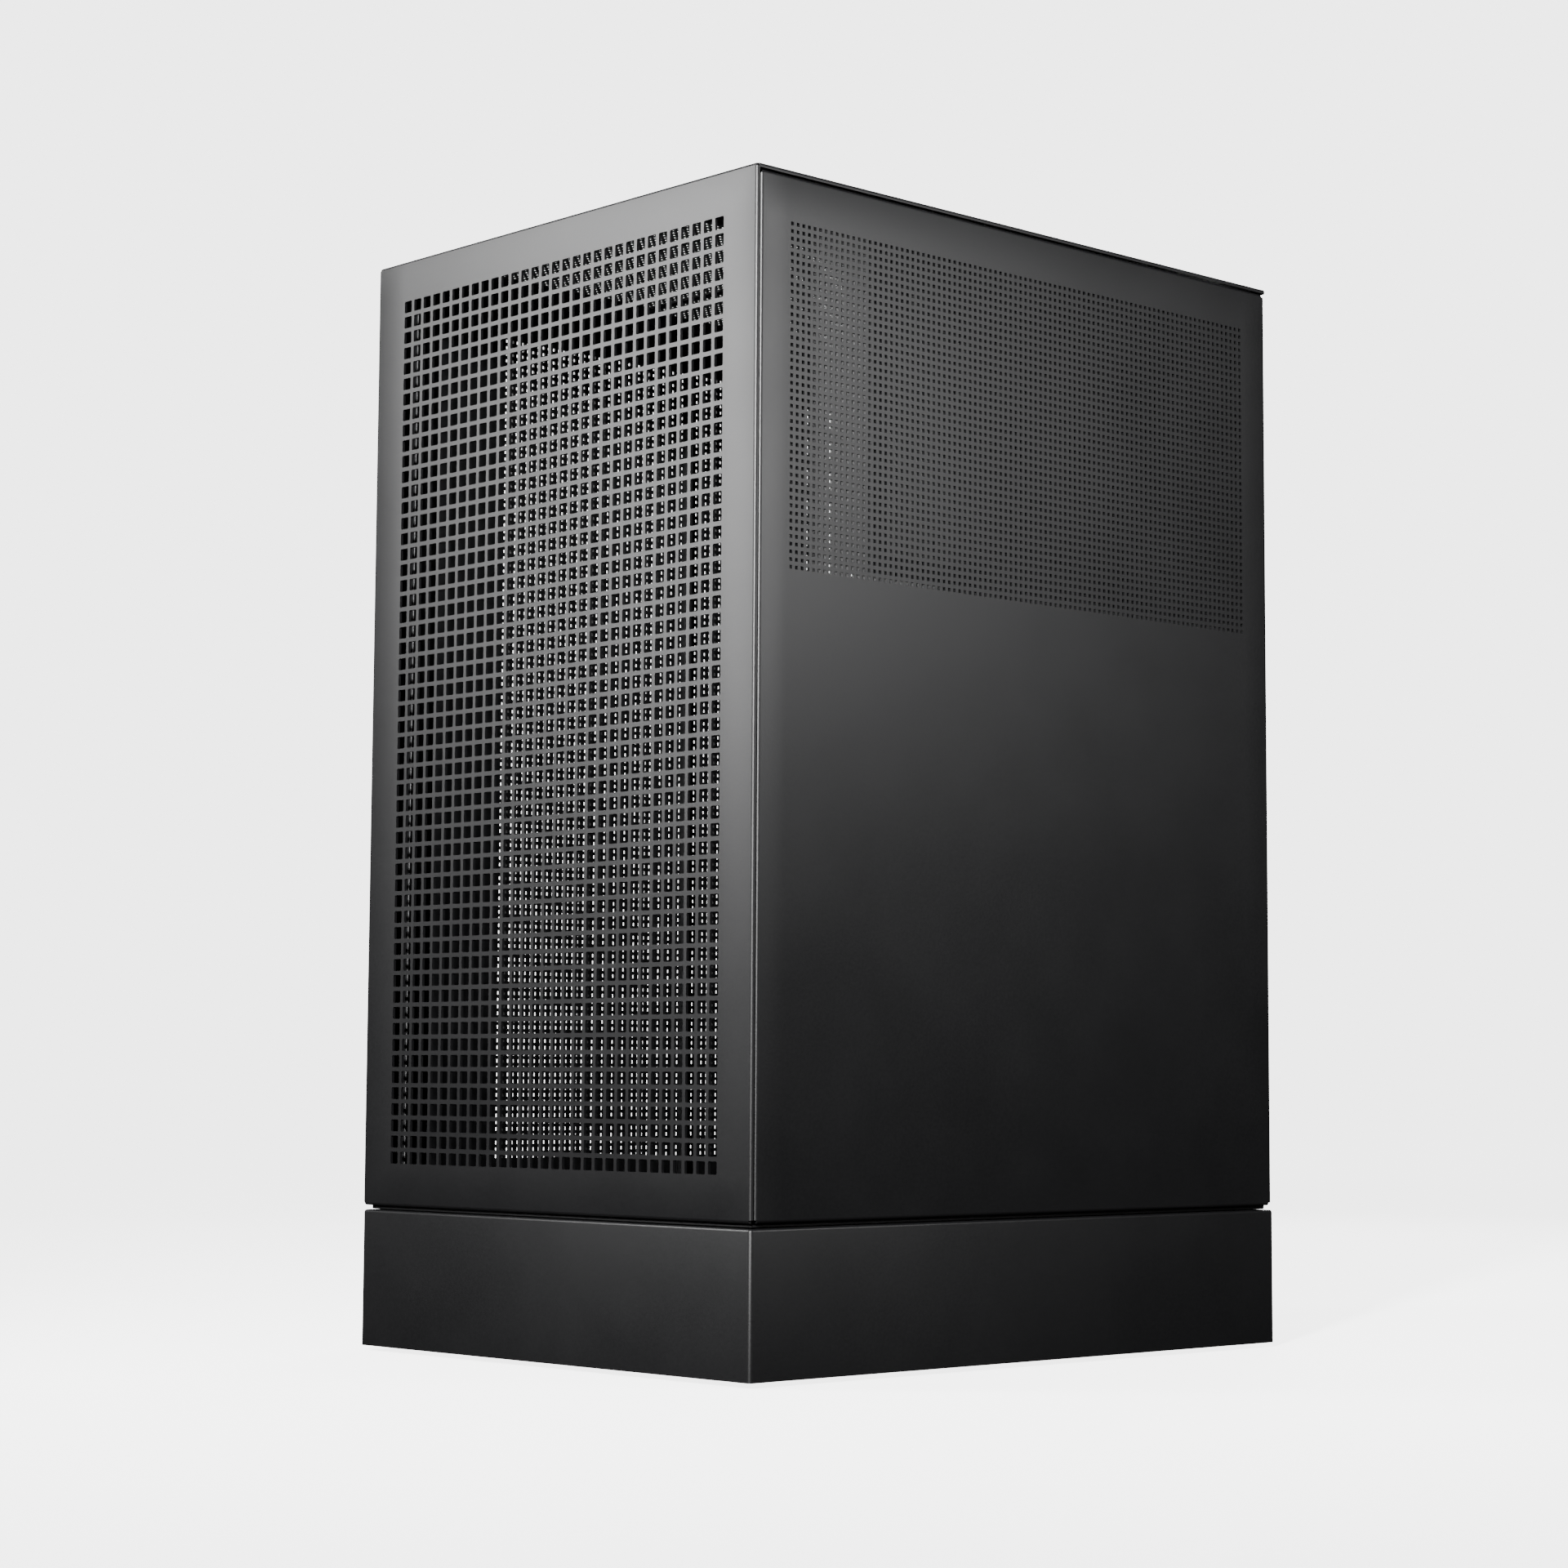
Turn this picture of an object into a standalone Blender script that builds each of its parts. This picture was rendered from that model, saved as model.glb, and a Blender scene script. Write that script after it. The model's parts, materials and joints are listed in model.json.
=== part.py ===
"""A compact tower computer chassis for a mini-ITX board: perforated sheet-steel skins round a riveted
frame, standing on a plinth that holds the button and the ports. Front faces -Y, board tray towards +X.

Every size below is in millimetres. The helpers turn it into metres.
"""

import math

import bmesh
import bpy
from mathutils import Matrix, Vector

MM = 0.001

# ---------------------------------------------------------------- driving sizes
WIDTH = 226.0
DEPTH = 281.0
FOOT_HEIGHT = 2.0
PLINTH_HEIGHT = 52.2
GROOVE = 1.8
HEIGHT = 428.0
SKIN = 1.0  # outer sheet steel
SHEET = 1.0  # frame sheet steel
GAP = 0.3  # between pieces that rest on each other

HALF_W = WIDTH / 2
HALF_D = DEPTH / 2
SKIRT_TOP = FOOT_HEIGHT + PLINTH_HEIGHT
BODY_BOTTOM = SKIRT_TOP + GROOVE

# front skin and its square perforation
FRONT_SKIN = 1.1
FRONT_HALF_W = 112.9
COARSE_PITCH = 6.2
COARSE_HOLE = 4.6
COARSE_COLUMNS = 31
COARSE_ROWS = 55

# side skins, and the fine perforation they share with the top
SIDE_FRONT = -HALF_D + 2.1
SIDE_TOP = HEIGHT - 2.2
SIDE_RIM_INSET = 3.0
SIDE_RIM_DEPTH = 5.0
SIDE_REAR_BEND = 3.0
SIDE_REAR_FLANGE = 10.0
FINE_PITCH = 2.7435
SLOT_PITCH = 2 * FINE_PITCH  # one slot here stands for two columns of fine holes
SLOT_WIDTH = 2.74
VENT_MARGIN = 15.3  # from the skin's outline to the first row of holes
RIGHT_VENT_BOTTOM = 283.3
LEFT_VENT_BOTTOM = 72.0
LEFT_VENT_FRONT = -77.0
VENT_REAR = HALF_D - VENT_MARGIN

# top skin
TOP_SKIN = 1.6

# frame
FRAME_HALF_W = 106.5
FRAME_FRONT = -132.0
REAR_WALL_Y = 136.5
FLOOR_Z = 57.0
FRAME_TOP = 423.0
WALL_BOTTOM = FLOOR_Z + SHEET + GAP
WALL_TOP = FRAME_TOP - SHEET - GAP
POST_DEPTH = 14.0
POST_Y = 15.0
TRAY_X = 92.0
TRAY_FRONT = -58.0
TRAY_TOP = 288.0
SCREEN_FRONT = -92.0
SCREEN_BORDER = 22.0

# mini-ITX board: its outline and hole pattern set the tray, the port opening and the slots
BOARD_BOTTOM = 116.0
BOARD_TOP = 286.0
STANDOFF_HEIGHT = 6.3
BOARD_HOLE_REAR = 125.4
BOARD_HOLE_PITCH_Y = 154.94
BOARD_HOLE_TOP = 279.6
BOARD_HOLE_PITCH_Z = 157.48
PORT_OPENING_LOW = (43.2, 121.6)
PORT_OPENING_HIGH = (87.6, 280.4)
SLOT_COVER_PITCH = 20.32
SLOT_CENTRES = (BOARD_BOTTOM - 10.6, BOARD_BOTTOM - 10.6 - SLOT_COVER_PITCH)

# cable openings in the tray, each with its grommet
GROMMET_FRONT = -50.0
GROMMET_WIDTH = 14.0
GROMMET_LENGTH = 70.0
GROMMET_BOTTOMS = (120.0, 205.0)

# rear fan
FAN_SIZE = 120.0
FAN_DEPTH = 25.0
FAN_X = -25.0
FAN_Z = (BOARD_BOTTOM + BOARD_TOP) / 2
FAN_BORE = 57.5
FAN_HOLE_PITCH = 105.0
FAN_BACK = REAR_WALL_Y - GAP
BLADES = 9

# power supply bracket, hung behind the front skin
PSU_Z = 419.0
PSU_HALF_W = 80.0
PSU_FRONT = -128.0
PSU_REAR = -38.0

# mains inlet
INLET_X = -75.0
INLET_Z = 92.0

# button and ports on the plinth's left side
PORT_Z = 29.0
BUTTON_Y = -112.0
BUTTON_RADIUS = 7.0
BUTTON_TRAVEL = 1.2
USB_C_Y = -90.0
USB_A_YS = (-71.0, -51.0)
AUDIO_Y = -35.0
BOARD_PCB_X = -99.0


# ---------------------------------------------------------------- collections and materials
def empty_scene():
    for obj in list(bpy.data.objects):
        bpy.data.objects.remove(obj)
    for name in ("Chassis", "Cutters"):
        collection = bpy.data.collections.new(name)
        bpy.context.scene.collection.children.link(collection)


def material(name, colour, roughness, metallic=0.0):
    made = bpy.data.materials.new(name)
    made.use_nodes = True
    shader = made.node_tree.nodes["Principled BSDF"]
    shader.inputs["Base Color"].default_value = (*colour, 1.0)
    shader.inputs["Roughness"].default_value = roughness
    shader.inputs["Metallic"].default_value = metallic
    return made


def make_materials():
    return {
        "skin": material("powder_coated_steel", (0.050, 0.050, 0.052), 0.45),
        "frame": material("black_painted_steel", (0.022, 0.022, 0.023), 0.5),
        "zinc": material("zinc_plated_steel", (0.55, 0.55, 0.56), 0.35, 1.0),
        "dark_screw": material("black_zinc_screw", (0.05, 0.05, 0.05), 0.4, 1.0),
        "brass": material("brass", (0.72, 0.53, 0.25), 0.35, 1.0),
        "rubber": material("black_rubber", (0.02, 0.02, 0.02), 0.85),
        "plastic": material("black_abs", (0.03, 0.03, 0.03), 0.5),
        "nylon": material("black_nylon", (0.025, 0.025, 0.025), 0.6),
        "circuit": material("black_circuit_board", (0.015, 0.02, 0.018), 0.4),
        "plated": material("nickel_plated_shell", (0.6, 0.6, 0.6), 0.3, 1.0),
    }


# ---------------------------------------------------------------- modelling helpers
def put_in(obj, collection):
    for owner in list(obj.users_collection):
        owner.objects.unlink(obj)
    bpy.data.collections[collection].objects.link(obj)


def as_part(obj, name, finish):
    obj.name = name
    obj.data.name = name
    obj.data.materials.clear()
    obj.data.materials.append(finish)
    put_in(obj, "Chassis")
    return obj


def as_helper(obj):
    """A cutter or a shape that is joined to another: not a part by itself."""
    obj.hide_render = True
    obj.display_type = "WIRE"
    put_in(obj, "Cutters")
    return obj


def box(low, high):
    """A block between two corners, its origin at its middle."""
    low, high = Vector(low) * MM, Vector(high) * MM
    bpy.ops.mesh.primitive_cube_add(size=1, location=(low + high) / 2)
    made = bpy.context.object
    made.scale = high - low
    bpy.ops.object.transform_apply(location=False, rotation=False, scale=True)
    return made


def rod(start, end, radius, sides=24):
    """A cylinder from one point to another, along X, Y or Z."""
    start, end = Vector(start) * MM, Vector(end) * MM
    along = end - start
    bpy.ops.mesh.primitive_cylinder_add(
        vertices=sides, radius=radius * MM, depth=along.length, location=(start + end) / 2
    )
    made = bpy.context.object
    made.rotation_euler = along.to_track_quat("Z", "Y").to_euler()
    bpy.ops.object.transform_apply(location=False, rotation=True, scale=False)
    smooth(made)
    return made


def smooth(obj):
    obj.data.shade_smooth()
    obj.data.set_sharp_from_angle(angle=math.radians(35))


def boolean(target, other, operation):
    step = target.modifiers.new(operation.lower(), "BOOLEAN")
    step.operation = operation
    step.object = as_helper(other)
    return target


def cut(target, *others):
    for other in others:
        boolean(target, other, "DIFFERENCE")
    return target


def join(target, *others):
    for other in others:
        boolean(target, other, "UNION")
    return target


def settle(obj):
    """Applies an object's modifiers, so that it can be a cutter or be bevelled."""
    graph = bpy.context.evaluated_depsgraph_get()
    mesh = bpy.data.meshes.new_from_object(obj.evaluated_get(graph))
    obj.modifiers.clear()
    obj.data = mesh
    return obj


def round_edges(obj, radius, chosen, segments=3):
    """Bevels the edges that chosen(midpoint, direction) picks, in the object's own space, in metres."""
    shape = bmesh.new()
    shape.from_mesh(obj.data)
    edges = [
        edge
        for edge in shape.edges
        if chosen((edge.verts[0].co + edge.verts[1].co) / 2, edge.verts[0].co - edge.verts[1].co)
    ]
    bmesh.ops.bevel(
        shape, geom=edges, offset=radius * MM, segments=segments, affect="EDGES", profile=0.5
    )
    shape.to_mesh(obj.data)
    shape.free()
    smooth(obj)
    return obj


def upright(_middle, along):
    return abs(along.z) > 0.9 * along.length


def repeated(block, count, step):
    """A row of blocks made from one, to cut many slots at once."""
    row = block.modifiers.new("row", "ARRAY")
    row.count = count
    row.use_relative_offset = False
    row.use_constant_offset = True
    row.constant_offset_displace = Vector(step) * MM
    return settle(block)


def hollow_box(low, high, wall, axis):
    """A rectangular ring with that wall, open along the axis."""
    ring = box(low, high)
    inner_low = [value + (0 if i == axis else wall) for i, value in enumerate(low)]
    inner_high = [value - (0 if i == axis else wall) for i, value in enumerate(high)]
    inner_low[axis] -= wall
    inner_high[axis] += wall
    cut(ring, box(inner_low, inner_high))
    return settle(ring)


# ---------------------------------------------------------------- plinth
def make_plinth(finish):
    edge = 1.2
    skirt = box((-HALF_W, -HALF_D, FOOT_HEIGHT), (HALF_W, HALF_D, SKIRT_TOP))
    round_edges(skirt, edge, upright)
    inside = box(
        (-HALF_W + edge, -HALF_D + edge, FOOT_HEIGHT - 5), (HALF_W - edge, HALF_D - edge, SKIRT_TOP - edge)
    )
    lip = 9.0
    mouth = box((-HALF_W + lip, -HALF_D + lip, SKIRT_TOP - 5), (HALF_W - lip, HALF_D - lip, SKIRT_TOP + 5))
    cut(skirt, inside, mouth)
    clearance = 0.4
    wall = (-HALF_W - 5, -HALF_W + 5)
    cut(skirt, rod((wall[0], BUTTON_Y, PORT_Z), (wall[1], BUTTON_Y, PORT_Z), BUTTON_RADIUS + clearance, 32))
    cut(skirt, rod((wall[0], AUDIO_Y, PORT_Z), (wall[1], AUDIO_Y, PORT_Z), 3.4 + clearance, 20))
    for centre, half in [(USB_C_Y, (4.6, 1.7)), *((y, (6.6, 2.9)) for y in USB_A_YS)]:
        reach = (half[0] + clearance, half[1] + clearance)
        cut(
            skirt,
            box((wall[0], centre - reach[0], PORT_Z - reach[1]), (wall[1], centre + reach[0], PORT_Z + reach[1])),
        )
    as_part(skirt, "plinth_skirt", finish["skin"])

    floor = box(
        (-HALF_W + edge + GAP, -HALF_D + edge + GAP, FOOT_HEIGHT + 1),
        (HALF_W - edge - GAP, HALF_D - edge - GAP, FOOT_HEIGHT + 2.2),
    )
    vent = box((-60, -50, FOOT_HEIGHT - 5), (-56, 50, FOOT_HEIGHT + 8))
    cut(floor, repeated(vent, 11, (11.6, 0, 0)))
    as_part(floor, "plinth_floor", finish["frame"])

    neck_inset = 2.6
    neck = hollow_box(
        (-HALF_W + neck_inset, -HALF_D + neck_inset, SKIRT_TOP + GAP),
        (HALF_W - neck_inset, HALF_D - neck_inset, FLOOR_Z - GAP),
        8.0,
        2,
    )
    as_part(neck, "shadow_gap_frame", finish["frame"])

    for side, x in (("left", -80), ("right", 80)):
        for end, y in (("front", -105), ("rear", 105)):
            foot = rod((x, y, 0), (x, y, FOOT_HEIGHT + 1 - GAP), 9.0)
            as_part(foot, f"foot_{end}_{side}", finish["rubber"])


# ---------------------------------------------------------------- button and ports
def make_controls(finish):
    skirt_inside = -HALF_W + 1.2
    pcb = box((BOARD_PCB_X, -126, PORT_Z - 14), (BOARD_PCB_X + 1.6, -25, PORT_Z + 14))
    as_part(pcb, "port_board", finish["circuit"])

    port_back = BOARD_PCB_X - GAP
    port_front = -HALF_W + 0.5
    for place, y in zip(("front", "rear"), USB_A_YS):
        shell = box((port_front, y - 6.6, PORT_Z - 2.9), (port_back, y + 6.6, PORT_Z + 2.9))
        cut(shell, box((port_front - 2, y - 6.1, PORT_Z - 2.4), (port_front + 10.5, y + 6.1, PORT_Z + 2.4)))
        as_part(shell, f"usb_a_port_{place}", finish["plated"])

    shell = box((port_front, USB_C_Y - 4.6, PORT_Z - 1.7), (port_back, USB_C_Y + 4.6, PORT_Z + 1.7))
    round_edges(shell, 1.6, lambda _middle, along: abs(along.x) > 0.9 * along.length, 4)
    hollow = box((port_front - 2, USB_C_Y - 4.2, PORT_Z - 1.3), (port_front + 7, USB_C_Y + 4.2, PORT_Z + 1.3))
    round_edges(hollow, 1.25, lambda _middle, along: abs(along.x) > 0.9 * along.length, 4)
    cut(shell, hollow)
    as_part(shell, "usb_c_port", finish["plated"])

    jack = rod((port_front, AUDIO_Y, PORT_Z), (port_back, AUDIO_Y, PORT_Z), 3.4, 20)
    cut(jack, rod((port_front - 2, AUDIO_Y, PORT_Z), (port_front + 11, AUDIO_Y, PORT_Z), 1.75, 16))
    as_part(jack, "audio_jack", finish["plastic"])

    guide = rod((skirt_inside + GAP, BUTTON_Y, PORT_Z), (port_back, BUTTON_Y, PORT_Z), 11.0, 32)
    cut(guide, rod((skirt_inside - 2, BUTTON_Y, PORT_Z), (port_back + 2, BUTTON_Y, PORT_Z), 8.9, 32))
    as_part(guide, "button_guide", finish["plastic"])

    cap = rod((-HALF_W, BUTTON_Y, PORT_Z), (-HALF_W + 4, BUTTON_Y, PORT_Z), BUTTON_RADIUS, 32)
    collar = rod((skirt_inside + GAP, BUTTON_Y, PORT_Z), (skirt_inside + 2, BUTTON_Y, PORT_Z), 8.4, 32)
    stem = rod((-HALF_W + 3, BUTTON_Y, PORT_Z), (-HALF_W + 6, BUTTON_Y, PORT_Z), 1.8, 16)
    join(cap, collar, stem)
    as_part(cap, "power_button", finish["plastic"])

    plunger_clear = BUTTON_TRAVEL + 0.2
    plunger_tip = -HALF_W + 6 + plunger_clear
    switch = box((BOARD_PCB_X - 5, BUTTON_Y - 3, PORT_Z - 3), (port_back, BUTTON_Y + 3, PORT_Z + 3))
    join(switch, rod((plunger_tip, BUTTON_Y, PORT_Z), (BOARD_PCB_X - 3, BUTTON_Y, PORT_Z), 1.7, 16))
    as_part(switch, "power_switch", finish["plastic"])


# ---------------------------------------------------------------- skins
def make_front_skin(finish):
    outer_y, inner_y = -HALF_D, -HALF_D + FRONT_SKIN
    skin = box((-FRONT_HALF_W, outer_y, BODY_BOTTOM), (FRONT_HALF_W, inner_y, HEIGHT))
    field_h = (COARSE_ROWS - 1) * COARSE_PITCH + COARSE_HOLE
    middle_z = (BODY_BOTTOM + HEIGHT) / 2
    first_x = -(COARSE_COLUMNS - 1) / 2 * COARSE_PITCH - COARSE_HOLE / 2
    slot = box(
        (first_x, outer_y - 2, middle_z - field_h / 2), (first_x + COARSE_HOLE, inner_y + 2, middle_z + field_h / 2)
    )
    cut(skin, repeated(slot, COARSE_COLUMNS, (COARSE_PITCH, 0, 0)))
    as_part(skin, "front_panel", finish["skin"])


def make_side_skin(name, side, vent_front, vent_bottom, finish):
    """One side skin, bent round the rear edge. side is +1 for the right one and -1 for the left."""

    def along_x(near, far):
        return tuple(sorted((side * near, side * far)))

    outer = along_x(HALF_W - SIDE_REAR_FLANGE, HALF_W)
    shell = box((outer[0], SIDE_FRONT, BODY_BOTTOM), (outer[1], HALF_D, SIDE_TOP))
    inner = along_x(HALF_W - SIDE_REAR_FLANGE - 5, HALF_W - SKIN)
    inside = box((inner[0], SIDE_FRONT - 5, BODY_BOTTOM - 5), (inner[1], HALF_D - SKIN, SIDE_TOP + 5))

    def rear_edge(middle, along):
        return upright(middle, along) and middle.y > 0 and middle.x * side > 0

    round_edges(shell, SIDE_REAR_BEND, rear_edge, 4)
    round_edges(inside, SIDE_REAR_BEND - SKIN, rear_edge, 4)
    cut(shell, inside)
    settle(shell)

    rim_x = along_x(HALF_W - SKIN - SIDE_RIM_DEPTH, HALF_W - SKIN / 2)
    rim_front = SIDE_FRONT + SIDE_RIM_INSET
    rim_rear = HALF_D - SIDE_REAR_BEND - SKIN
    low, top = BODY_BOTTOM + SIDE_RIM_INSET, SIDE_TOP - SIDE_RIM_INSET
    join(
        shell,
        box((rim_x[0], rim_front, low), (rim_x[1], rim_front + SKIN, top)),
        box((rim_x[0], rim_front, top - SKIN), (rim_x[1], rim_rear, top)),
        box((rim_x[0], rim_front, low), (rim_x[1], rim_rear, low + SKIN)),
    )
    slots = int((VENT_REAR - vent_front) / SLOT_PITCH + 0.5)
    wall = along_x(HALF_W - SKIN - 2, HALF_W + 2)
    slot = box((wall[0], vent_front, vent_bottom), (wall[1], vent_front + SLOT_WIDTH, SIDE_TOP - VENT_MARGIN))
    cut(shell, repeated(slot, slots, (0, SLOT_PITCH, 0)))
    as_part(shell, name, finish["skin"])


def make_top_skin(finish):
    front = -HALF_D + FRONT_SKIN + GAP
    low_z = HEIGHT - TOP_SKIN
    skin = box((-HALF_W, front, low_z), (HALF_W, HALF_D, HEIGHT))
    vent_x, vent_y = 94.0, 122.0
    slots = int(2 * vent_x / SLOT_PITCH)
    first = -(slots - 1) / 2 * SLOT_PITCH - SLOT_WIDTH / 2
    slot = box((first, -vent_y, low_z - 2), (first + SLOT_WIDTH, vent_y, HEIGHT + 2))
    cut(skin, repeated(slot, slots, (SLOT_PITCH, 0, 0)))
    as_part(skin, "top_panel", finish["skin"])


# ---------------------------------------------------------------- frame
def make_front_frame(finish):
    back = FRAME_FRONT + SHEET
    frame = box((-FRAME_HALF_W, FRAME_FRONT, WALL_BOTTOM), (FRAME_HALF_W, back, WALL_TOP))
    cut(frame, box((-98, FRAME_FRONT - 5, 70), (98, back + 5, 417)))
    for side in (-1, 1):
        x = sorted((side * FRAME_HALF_W, side * (FRAME_HALF_W - SHEET)))
        join(frame, box((x[0], FRAME_FRONT, WALL_BOTTOM), (x[1], FRAME_FRONT + POST_DEPTH, WALL_TOP)))
    as_part(frame, "front_frame", finish["frame"])


def fan_grille_cutter():
    """Upright slots that together fill the fan's circle."""
    radius, pitch, width = 55.0, 8.0, 5.5
    slots = None
    for k in range(-6, 7):
        half = math.sqrt(radius**2 - (abs(k) * pitch + width / 2) ** 2)
        x = FAN_X + k * pitch
        slot = box((x - width / 2, REAR_WALL_Y - 3, FAN_Z - half), (x + width / 2, REAR_WALL_Y + 4, FAN_Z + half))
        slots = slot if slots is None else merged(slots, slot)
    return slots


def merged(first, second):
    """Two loose shapes as one object, for a cutter of separate pieces."""
    bpy.ops.object.select_all(action="DESELECT")
    first.select_set(True)
    second.select_set(True)
    bpy.context.view_layer.objects.active = first
    bpy.ops.object.join()
    return first


def make_rear_wall(finish):
    back = REAR_WALL_Y + SHEET
    wall = box((-FRAME_HALF_W, REAR_WALL_Y, WALL_BOTTOM), (FRAME_HALF_W, back, WALL_TOP))
    near, far = REAR_WALL_Y - 3, back + 3
    cut(
        wall,
        box((PORT_OPENING_LOW[0], near, PORT_OPENING_LOW[1]), (PORT_OPENING_HIGH[0], far, PORT_OPENING_HIGH[1])),
        fan_grille_cutter(),
        box((INLET_X - 14.3, near, INLET_Z - 10.8), (INLET_X + 14.3, far, INLET_Z + 10.8)),
    )
    for centre in SLOT_CENTRES:
        cut(wall, box((-12, near, centre - 6.8), (88, far, centre + 6.8)))
        cut(wall, rod((-22, near, centre), (-22, far, centre), 1.9, 12))
    half = FAN_HOLE_PITCH / 2
    for sx in (-1, 1):
        for sz in (-1, 1):
            x, z = FAN_X + sx * half, FAN_Z + sz * half
            cut(wall, rod((x, near, z), (x, far, z), 2.6, 12))
    vent = box((-98, near, 302), (-98 + SLOT_WIDTH, far, 410))
    cut(wall, repeated(vent, 35, (SLOT_PITCH, 0, 0)))
    for side in (-1, 1):
        x = sorted((side * FRAME_HALF_W, side * (FRAME_HALF_W - SHEET)))
        join(wall, box((x[0], back - POST_DEPTH, WALL_BOTTOM), (x[1], back, WALL_TOP)))
    as_part(wall, "rear_wall", finish["frame"])


def make_frame_ends(finish):
    back = REAR_WALL_Y + SHEET
    top = box((-FRAME_HALF_W, FRAME_FRONT, FRAME_TOP - SHEET), (FRAME_HALF_W, back, FRAME_TOP))
    cut(top, box((-100, -118, FRAME_TOP - 5), (60, 122, FRAME_TOP + 5)))
    slot = box((70, -100, FRAME_TOP - 5), (73.5, -80, FRAME_TOP + 5))
    cut(top, repeated(slot, 5, (0, 45, 0)))
    as_part(top, "top_frame", finish["frame"])

    floor = box((-FRAME_HALF_W, FRAME_FRONT, FLOOR_Z), (FRAME_HALF_W, back, FLOOR_Z + SHEET))
    cut(floor, box((-95, -120, FLOOR_Z - 5), (-35, -98, FLOOR_Z + 5)))
    slot = box((-70, -40, FLOOR_Z - 5), (-66, 60, FLOOR_Z + 5))
    cut(floor, repeated(slot, 11, (12, 0, 0)))
    as_part(floor, "frame_floor", finish["frame"])

    post = box((-FRAME_HALF_W, POST_Y, WALL_BOTTOM), (-FRAME_HALF_W + SHEET, POST_Y + 6, WALL_TOP))
    join(post, box((-FRAME_HALF_W, POST_Y, WALL_BOTTOM), (-FRAME_HALF_W + 5, POST_Y + 1, WALL_TOP)))
    as_part(post, "left_side_post", finish["frame"])


def make_tray(finish):
    rear = REAR_WALL_Y - GAP
    flange_x = FRAME_HALF_W - SHEET - GAP
    tray = box((TRAY_X, TRAY_FRONT, WALL_BOTTOM), (TRAY_X + SHEET, rear, TRAY_TOP))
    join(
        tray,
        box((TRAY_X, TRAY_FRONT, TRAY_TOP - SHEET), (flange_x, REAR_WALL_Y - POST_DEPTH, TRAY_TOP)),
        box((TRAY_X, TRAY_FRONT, WALL_BOTTOM), (flange_x, TRAY_FRONT + SHEET, TRAY_TOP)),
    )
    near, far = TRAY_X - 3, TRAY_X + 4
    cut(tray, box((near, 14, 178), (far, 112, 272)))
    for low in GROMMET_BOTTOMS:
        cut(tray, box((near, GROMMET_FRONT, low), (far, GROMMET_FRONT + GROMMET_WIDTH, low + GROMMET_LENGTH)))
    as_part(tray, "motherboard_tray", finish["frame"])

    outer = FRAME_HALF_W
    screen_rear = REAR_WALL_Y + SHEET - POST_DEPTH - GAP
    screen = box((outer - SHEET, SCREEN_FRONT, TRAY_TOP + GAP), (outer, screen_rear, WALL_TOP))
    first = SCREEN_FRONT + SCREEN_BORDER
    slots = int((screen_rear - 8 - first) / SLOT_PITCH)
    slot = box((outer - 5, first, TRAY_TOP + 8), (outer + 5, first + SLOT_WIDTH, WALL_TOP - 10))
    cut(screen, repeated(slot, slots, (0, SLOT_PITCH, 0)))
    as_part(screen, "tray_screen", finish["frame"])

    for end, y in (("rear", BOARD_HOLE_REAR), ("front", BOARD_HOLE_REAR - BOARD_HOLE_PITCH_Y)):
        for level, z in (("upper", BOARD_HOLE_TOP), ("lower", BOARD_HOLE_TOP - BOARD_HOLE_PITCH_Z)):
            face = TRAY_X - GAP - STANDOFF_HEIGHT
            standoff = rod((face, y, z), (TRAY_X - GAP, y, z), 3.2, 6)
            cut(standoff, rod((face - 2, y, z), (face + 5, y, z), 1.3, 12))
            as_part(standoff, f"board_standoff_{level}_{end}", finish["brass"])


def make_grommets(finish):
    """Rubber frames that clip round the tray's cable openings."""
    lip = 3.0
    for level, low in zip(("lower", "upper"), GROMMET_BOTTOMS):
        y0, y1 = GROMMET_FRONT, GROMMET_FRONT + GROMMET_WIDTH
        z0, z1 = low, low + GROMMET_LENGTH
        frame = box((TRAY_X - 2, y0 + GAP, z0 + GAP), (TRAY_X + 3, y1 - GAP, z1 - GAP))
        join(
            frame,
            box((TRAY_X - 2, y0 - lip, z0 - lip), (TRAY_X - GAP, y1 + lip, z1 + lip)),
            box((TRAY_X + SHEET + GAP, y0 - lip, z0 - lip), (TRAY_X + 3, y1 + lip, z1 + lip)),
        )
        cut(frame, box((TRAY_X - 5, y0 + 2, z0 + 2), (TRAY_X + 6, y1 - 2, z1 - 2)))
        as_part(frame, f"cable_grommet_{level}", finish["rubber"])


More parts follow.
